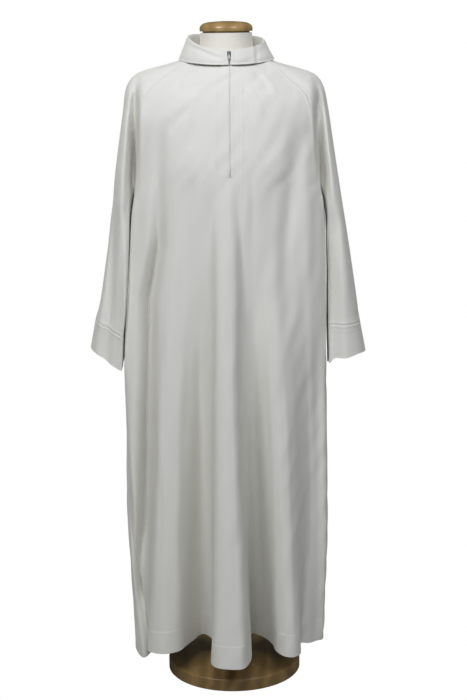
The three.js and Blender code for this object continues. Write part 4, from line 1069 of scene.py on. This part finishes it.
def stand_rows(offsets, depth, count=14):
    """Rows of points behind the collar's stand, on rings between its own and the fold's."""
    stand, fold = (np.array(ring[:7], float)[:, None, None] for ring in COLLAR_RINGS[1:3])
    share = np.linspace(0, 1, count)[:, None]
    ring = stand * (1 - share) + fold * share
    turn = np.arcsin(-(ZIP_TOP_X + np.asarray(offsets, float)) / ring[0])
    return ring_point(ring, turn) + (0, depth, 0)


def zip_strip(offsets, depth, stand_depth):
    """Rows of points behind the front and then behind the stand, for the zip's tape."""
    return np.concatenate([behind_front(offsets, depth), stand_rows(offsets, stand_depth)])


def coil_piece(name, path):
    """The nylon coil: one lens-shaped loop every pitch on either side of the path. A loop is a
    ball of seven levels, drawn out across the zip and flattened.
    """
    lengths = np.concatenate([[0], np.cumsum(np.linalg.norm(np.diff(path, axis=0), axis=1))])
    places = np.arange(COIL_PITCH, lengths[-1] - COIL_PITCH, COIL_PITCH)
    centre = np.stack([np.interp(places, lengths, path[:, k]) for k in range(3)], axis=1)
    turn = np.linspace(0, 2 * math.pi, 10, endpoint=False)
    rise = np.linspace(-math.pi / 2, math.pi / 2, 7)[1:-1, None]
    ball = np.stack([np.cos(rise) * np.cos(turn), np.cos(rise) * np.sin(turn),
                     np.sin(rise) + 0 * turn], axis=-1)
    poles = np.array([[0, 0, -1.0], [0, 0, 1.0]])
    one = np.concatenate([ball.reshape(-1, 3), poles]) * (1.25, 0.62, 0.52)
    side = np.array([[-1.05, 0, 0.0], [1.05, 0, COIL_PITCH / 2]])
    centres = (centre[:, None] + side).reshape(-1, 3)
    vertices = (centres[:, None] + one).reshape(-1, 3)
    shift = np.arange(len(centres))[:, None, None] * len(one)
    return mesh_object(name, vertices, (closed_faces(5, 10) + shift).reshape(-1, 4))


def torso_ring(row, segments, power):
    """A level ring of the torso: a squared ellipse with its own depth in front and behind."""
    z, half, front, back = row
    turn = np.linspace(0, 2 * math.pi, segments, endpoint=False)
    depth = np.where(np.cos(turn) > 0, front, back)
    return np.stack([half * squared(np.sin(turn), power), -depth * squared(np.cos(turn), power),
                     np.full(segments, float(z))], axis=-1)


def stand_at(obj, right, up, back, place):
    """Links an object to the scene at a place, its own axes turned to right, up and back."""
    matrix = np.eye(4)
    matrix[:3] = np.stack([right, up, back, place], axis=1)
    obj.matrix_world = Matrix(matrix.tolist())
    bpy.context.scene.collection.objects.link(obj)


# ------------------------------------------------------------------ settings and operators


def tone_property(name, description, default):
    """A colour that the user may change."""
    return FloatVectorProperty(name=name, description=description, default=default,
                               subtype="COLOR", min=0, max=1)


class AlbSettings(bpy.types.PropertyGroup):
    """Sizes and colours of the alb and its form."""

    wall: FloatProperty(
        name="Cloth wall", description="Thickness of the alb's cloth", default=0.0012,
        min=0.0005, max=0.0018, unit="LENGTH")
    crease: FloatProperty(
        name="Creases", description="Depth of the small creases, 1 as built", default=1.0)
    cloth: tone_property("Cloth", "Colour of the alb", (0.82, 0.815, 0.765))
    cover: tone_property("Cover", "Colour of the form's cover", (0.87, 0.845, 0.765))
    cap_light: tone_property("Cap, light grain", "Light grain of the neck cap",
                             (0.50, 0.33, 0.13))
    cap_dark: tone_property("Cap, dark grain", "Dark grain of the neck cap",
                            (0.30, 0.185, 0.065))
    base_light: tone_property("Base, light grain", "Light grain of the base and pole",
                              (0.37, 0.235, 0.09))
    base_dark: tone_property("Base, dark grain", "Dark grain of the base and pole",
                             (0.19, 0.115, 0.04))
    key: FloatProperty(
        name="Key light", description="Power that the shares of all lights are taken from",
        default=58.0, unit="POWER")


class ALB_OT_garment(bpy.types.Operator):
    """Builds the front, back, sleeves, cuffs and the turned-up hem"""

    bl_idname = "alb.garment"
    bl_label = "Alb: garment"

    def execute(self, context):
        settings = context.scene.alb
        wall = settings.wall / MM
        panels = cloth_panels(settings.crease)
        plain = cloth_material("Alb cloth", settings.cloth, BODY_STITCH, turn_up=TURN_UP_STEP)
        cuffed = cloth_material("Alb cuff cloth", settings.cloth, CUFF_STITCH,
                                stitched_from_seam=True, ridge=CUFF_RIDGE)
        turned = cloth_material("Alb hem cloth", settings.cloth, HEM_STITCH)
        rows, columns = panels["front"]["seam"].shape
        closed = np.ones((rows - 1, columns - 1), bool)
        closed[steps(BODY_SPANS)[:-1] >= ZIP_FOOT_PARAM, slit_column()] = False
        for name, panel in panels.items():
            on_cuff = name.startswith("cuff")
            piece = shell("alb_" + name, panel["grid"], wall + CUFF_DOUBLE * on_cuff,
                          panel["normal"], closed if name == "front" else None,
                          panel["edge"], panel["run"], panel["seam"])
            finish_piece(piece, BODY, "alb_cloth",
                                      cuffed if on_cuff else plain, name)
        for name in ("front", "back"):
            rows = panels[name]["edge"].mean(axis=1) <= HEM_DEPTH + 2
            inside = pushed(panels[name]["grid"], -(wall + HEM_GAP))[rows]
            hem = "hem_" + name
            finish_piece(shell("alb_" + hem, inside, HEM_CLOTH), BODY, "alb_cloth",
                                     turned, hem)
        return {"FINISHED"}


class ALB_OT_collar(bpy.types.Operator):
    """Builds the fold-over collar"""

    bl_idname = "alb.collar"
    bl_label = "Alb: collar"

    def execute(self, context):
        settings = context.scene.alb
        grid = collar_grid()
        x, y, z = np.moveaxis(grid, -1, 0)
        grid[..., 1] -= settings.crease * troughs(x, z, COLLAR_CREASES) * smooth(-y / 40)
        seam, run = arc_length(grid, 0), arc_length(grid, 1)
        from_edge = seam[-1:] - seam
        tuck = FALL_TUCK * smooth(1 - from_edge / FALL_TUCK_FROM) * smooth(-y / 40)
        grid = pushed(grid, -tuck)
        ends = np.minimum(run, run[:, -1:] - run)
        piece = shell("alb_collar", grid, COLLAR_CLOTH, edge=np.minimum(from_edge, ends + 0.001),
                      run=run, seam=seam)
        finish_piece(piece, BODY, "alb_cloth",
                     cloth_material("Alb collar cloth", settings.cloth, COLLAR_STITCH),
                     "collar")
        return {"FINISHED"}


class ALB_OT_zip(bpy.types.Operator):
    """Builds the zip's tape and coil, and finishes its slider and pull tab"""

    bl_idname = "alb.zip"
    bl_label = "Alb: zip"

    def execute(self, context):
        strip = zip_strip(np.linspace(-12, 12, 13), TAPE_DEPTH, TAPE_STAND_DEPTH)
        finish_piece(shell("alb_zip_tape", strip, TAPE_CLOTH), BODY, "zip_tape",
                     tape_material("Zip tape", (0.74, 0.73, 0.67), 900.0), "zip_tape")
        path = np.concatenate([behind_front([-1.5, 0, 1.5], COIL_DEPTH)[:, 1],
                               stand_rows([0.0], COIL_STAND_DEPTH, 8)[:-1, 0]])
        finish_piece(coil_piece("alb_zip_coil", path), BODY, "zip_coil",
                     tape_material("Zip coil", (0.78, 0.77, 0.72), 300.0), "zip_coil")
        for name, dull, bright in (
                ("zip_slider", (0.16, 0.18, 0.19), (0.3, 0.32, 0.33)),
                ("zip_pull", (0.66, 0.68, 0.69), (0.88, 0.9, 0.9))):
            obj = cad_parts[name]
            obj.data.materials.clear()
            obj.data.materials.append(metal_material("Metal of " + name, dull, bright))
            bevel = obj.modifiers.new("Rounded edges", "BEVEL")
            bevel.width = METAL_EDGE * MM
            bevel.segments = 2
        return {"FINISHED"}


class ALB_OT_form(bpy.types.Operator):
    """Builds the dress form: torso, neck cap, pole and base"""

    bl_idname = "alb.form"
    bl_label = "Alb: dress form"

    def execute(self, context):
        settings = context.scene.alb
        table = np.array(TORSO, float)[:, None]
        rows = spline(table, steps((4,) * (len(TORSO) - 1)))[:, 0]
        rings = np.array([torso_ring(row, 128, 1.0 if row[0] > 1450 else SQUARE)
                          for row in rows])
        torso = tube("dress_form_torso", rings, TORSO[0][0], TORSO[-1][0], 40)
        finish_piece(torso, BODY, "form_cover", cover_material(settings.cover), "form_torso")
        base_wood = wood_material("Base oak", settings.base_light, settings.base_dark,
                                  rings=26.0, roughness=0.45, coat=0.15)
        cap_wood = wood_material("Cap oak", settings.cap_light, settings.cap_dark,
                                 rings=34.0, roughness=0.3, coat=0.6)
        turn = np.radians(np.linspace(0, 90, 12))
        middle = np.array([BASE_RADIUS, BASE_HEIGHT]) - BASE_ROUND
        edge = middle + BASE_ROUND * np.stack([np.cos(turn), np.sin(turn)], axis=1)
        base = [(0, 0), (BASE_RADIUS - 1, 0), (BASE_RADIUS, 1), *edge, (0, BASE_HEIGHT)]
        for name, profile, segments, slot, wood in (
                ("base", base, 160, "form_wood", base_wood),
                ("pole", POLE, 64, "form_wood", base_wood),
                ("cap", CAP, 128, "form_cap_wood", cap_wood)):
            turned = revolve("dress_form_" + name, profile, segments)
            finish_piece(turned, BODY, slot, wood, "form_" + name)
        return {"FINISHED"}


class ALB_OT_stage(bpy.types.Operator):
    """Sets up the camera, lights, world and floor"""

    bl_idname = "alb.stage"
    bl_label = "Alb: stage"

    def execute(self, context):
        scene = context.scene
        self.camera(scene)
        for light in LIGHTS:
            self.light(scene.alb.key, *light)
        scene.world = self.room()
        scene.view_settings.view_transform = "Standard"
        corners = np.array([[-1, -1, 0], [1, -1, 0], [1, 1, 0], [-1, 1, 0.0]]) * FLOOR_HALF
        floor = mesh_object("studio_floor", corners, np.array([[0, 1, 2, 3]]))
        floor.data.materials.append(stage_material())
        return {"FINISHED"}

    def camera(self, scene):
        """Tilts the camera down by CAMERA_TILT and turns it by CAMERA_ROLL about its view."""
        right = np.array([1.0, 0, 0])
        up = np.array([0, math.sin(CAMERA_TILT), math.cos(CAMERA_TILT)])
        cos, sin = math.cos(CAMERA_ROLL), math.sin(CAMERA_ROLL)
        lens = bpy.data.cameras.new("Camera")
        lens.sensor_width = CAMERA_SENSOR
        lens.lens = CAMERA_LENS
        scene.camera = bpy.data.objects.new("Camera", lens)
        stand_at(scene.camera, cos * right + sin * up, -sin * right + cos * up,
                 np.cross(right, up), CAMERA_PLACE)

    def light(self, key, name, place, height, size, share, colour, in_gloss):
        """Makes a round area light at place that faces a point at height over the base."""
        data = bpy.data.lights.new(name, "AREA")
        data.shape = "DISK"
        data.size = size
        data.energy = share * key
        data.color = colour
        lamp = bpy.data.objects.new(name, data)
        lamp.visible_glossy = in_gloss
        back = np.array(place) - (0, 0, height)
        back /= np.linalg.norm(back)
        right = np.cross((0, 0, 1), back)
        right /= np.linalg.norm(right)
        stand_at(lamp, right, np.cross(back, right), back, place)

    def room(self):
        """A world that the camera sees as white, and that lights the cloth a little."""
        world = bpy.data.worlds.new("Studio")
        world.use_nodes = True
        tree = world.node_tree
        seen = node(tree, "ShaderNodeLightPath").outputs["Is Camera Ray"]
        strength = node(tree, "ShaderNodeMapRange", {"Value": seen, "To Min": ROOM_STRENGTH,
                                                     "To Max": 1.0})
        tint = node(tree, "ShaderNodeMix", {0: seen, 6: ROOM_LIGHT, 7: (1, 1, 1, 1)},
                    data_type="RGBA")
        tree.links.new(tint.outputs[2], tree.nodes["Background"].inputs["Color"])
        tree.links.new(strength.outputs[0], tree.nodes["Background"].inputs["Strength"])
        return world


class ALB_PT_panel(bpy.types.Panel):
    """Sizes, colours and the steps that build the alb."""

    bl_label = "Alb"
    bl_idname = "ALB_PT_panel"
    bl_space_type = "VIEW_3D"
    bl_region_type = "UI"
    bl_category = "Alb"

    def draw(self, context):
        for key in AlbSettings.__annotations__:
            self.layout.prop(context.scene.alb, key)
        for step in STEPS:
            self.layout.operator(step.bl_idname)


STEPS = (ALB_OT_garment, ALB_OT_collar, ALB_OT_zip, ALB_OT_form, ALB_OT_stage)
CLASSES = (AlbSettings, *STEPS, ALB_PT_panel)


def register():
    """Makes the settings and operators known to Blender."""
    for made in CLASSES:
        bpy.utils.register_class(made)
    bpy.types.Scene.alb = PointerProperty(type=AlbSettings)


def unregister():
    """Takes them away again."""
    del bpy.types.Scene.alb
    for made in reversed(CLASSES):
        bpy.utils.unregister_class(made)


def main():
    register()
    bpy.ops.alb.garment()
    bpy.ops.alb.collar()
    bpy.ops.alb.zip()
    bpy.ops.alb.form()
    bpy.ops.alb.stage()


if __name__ == "__main__":
    main()
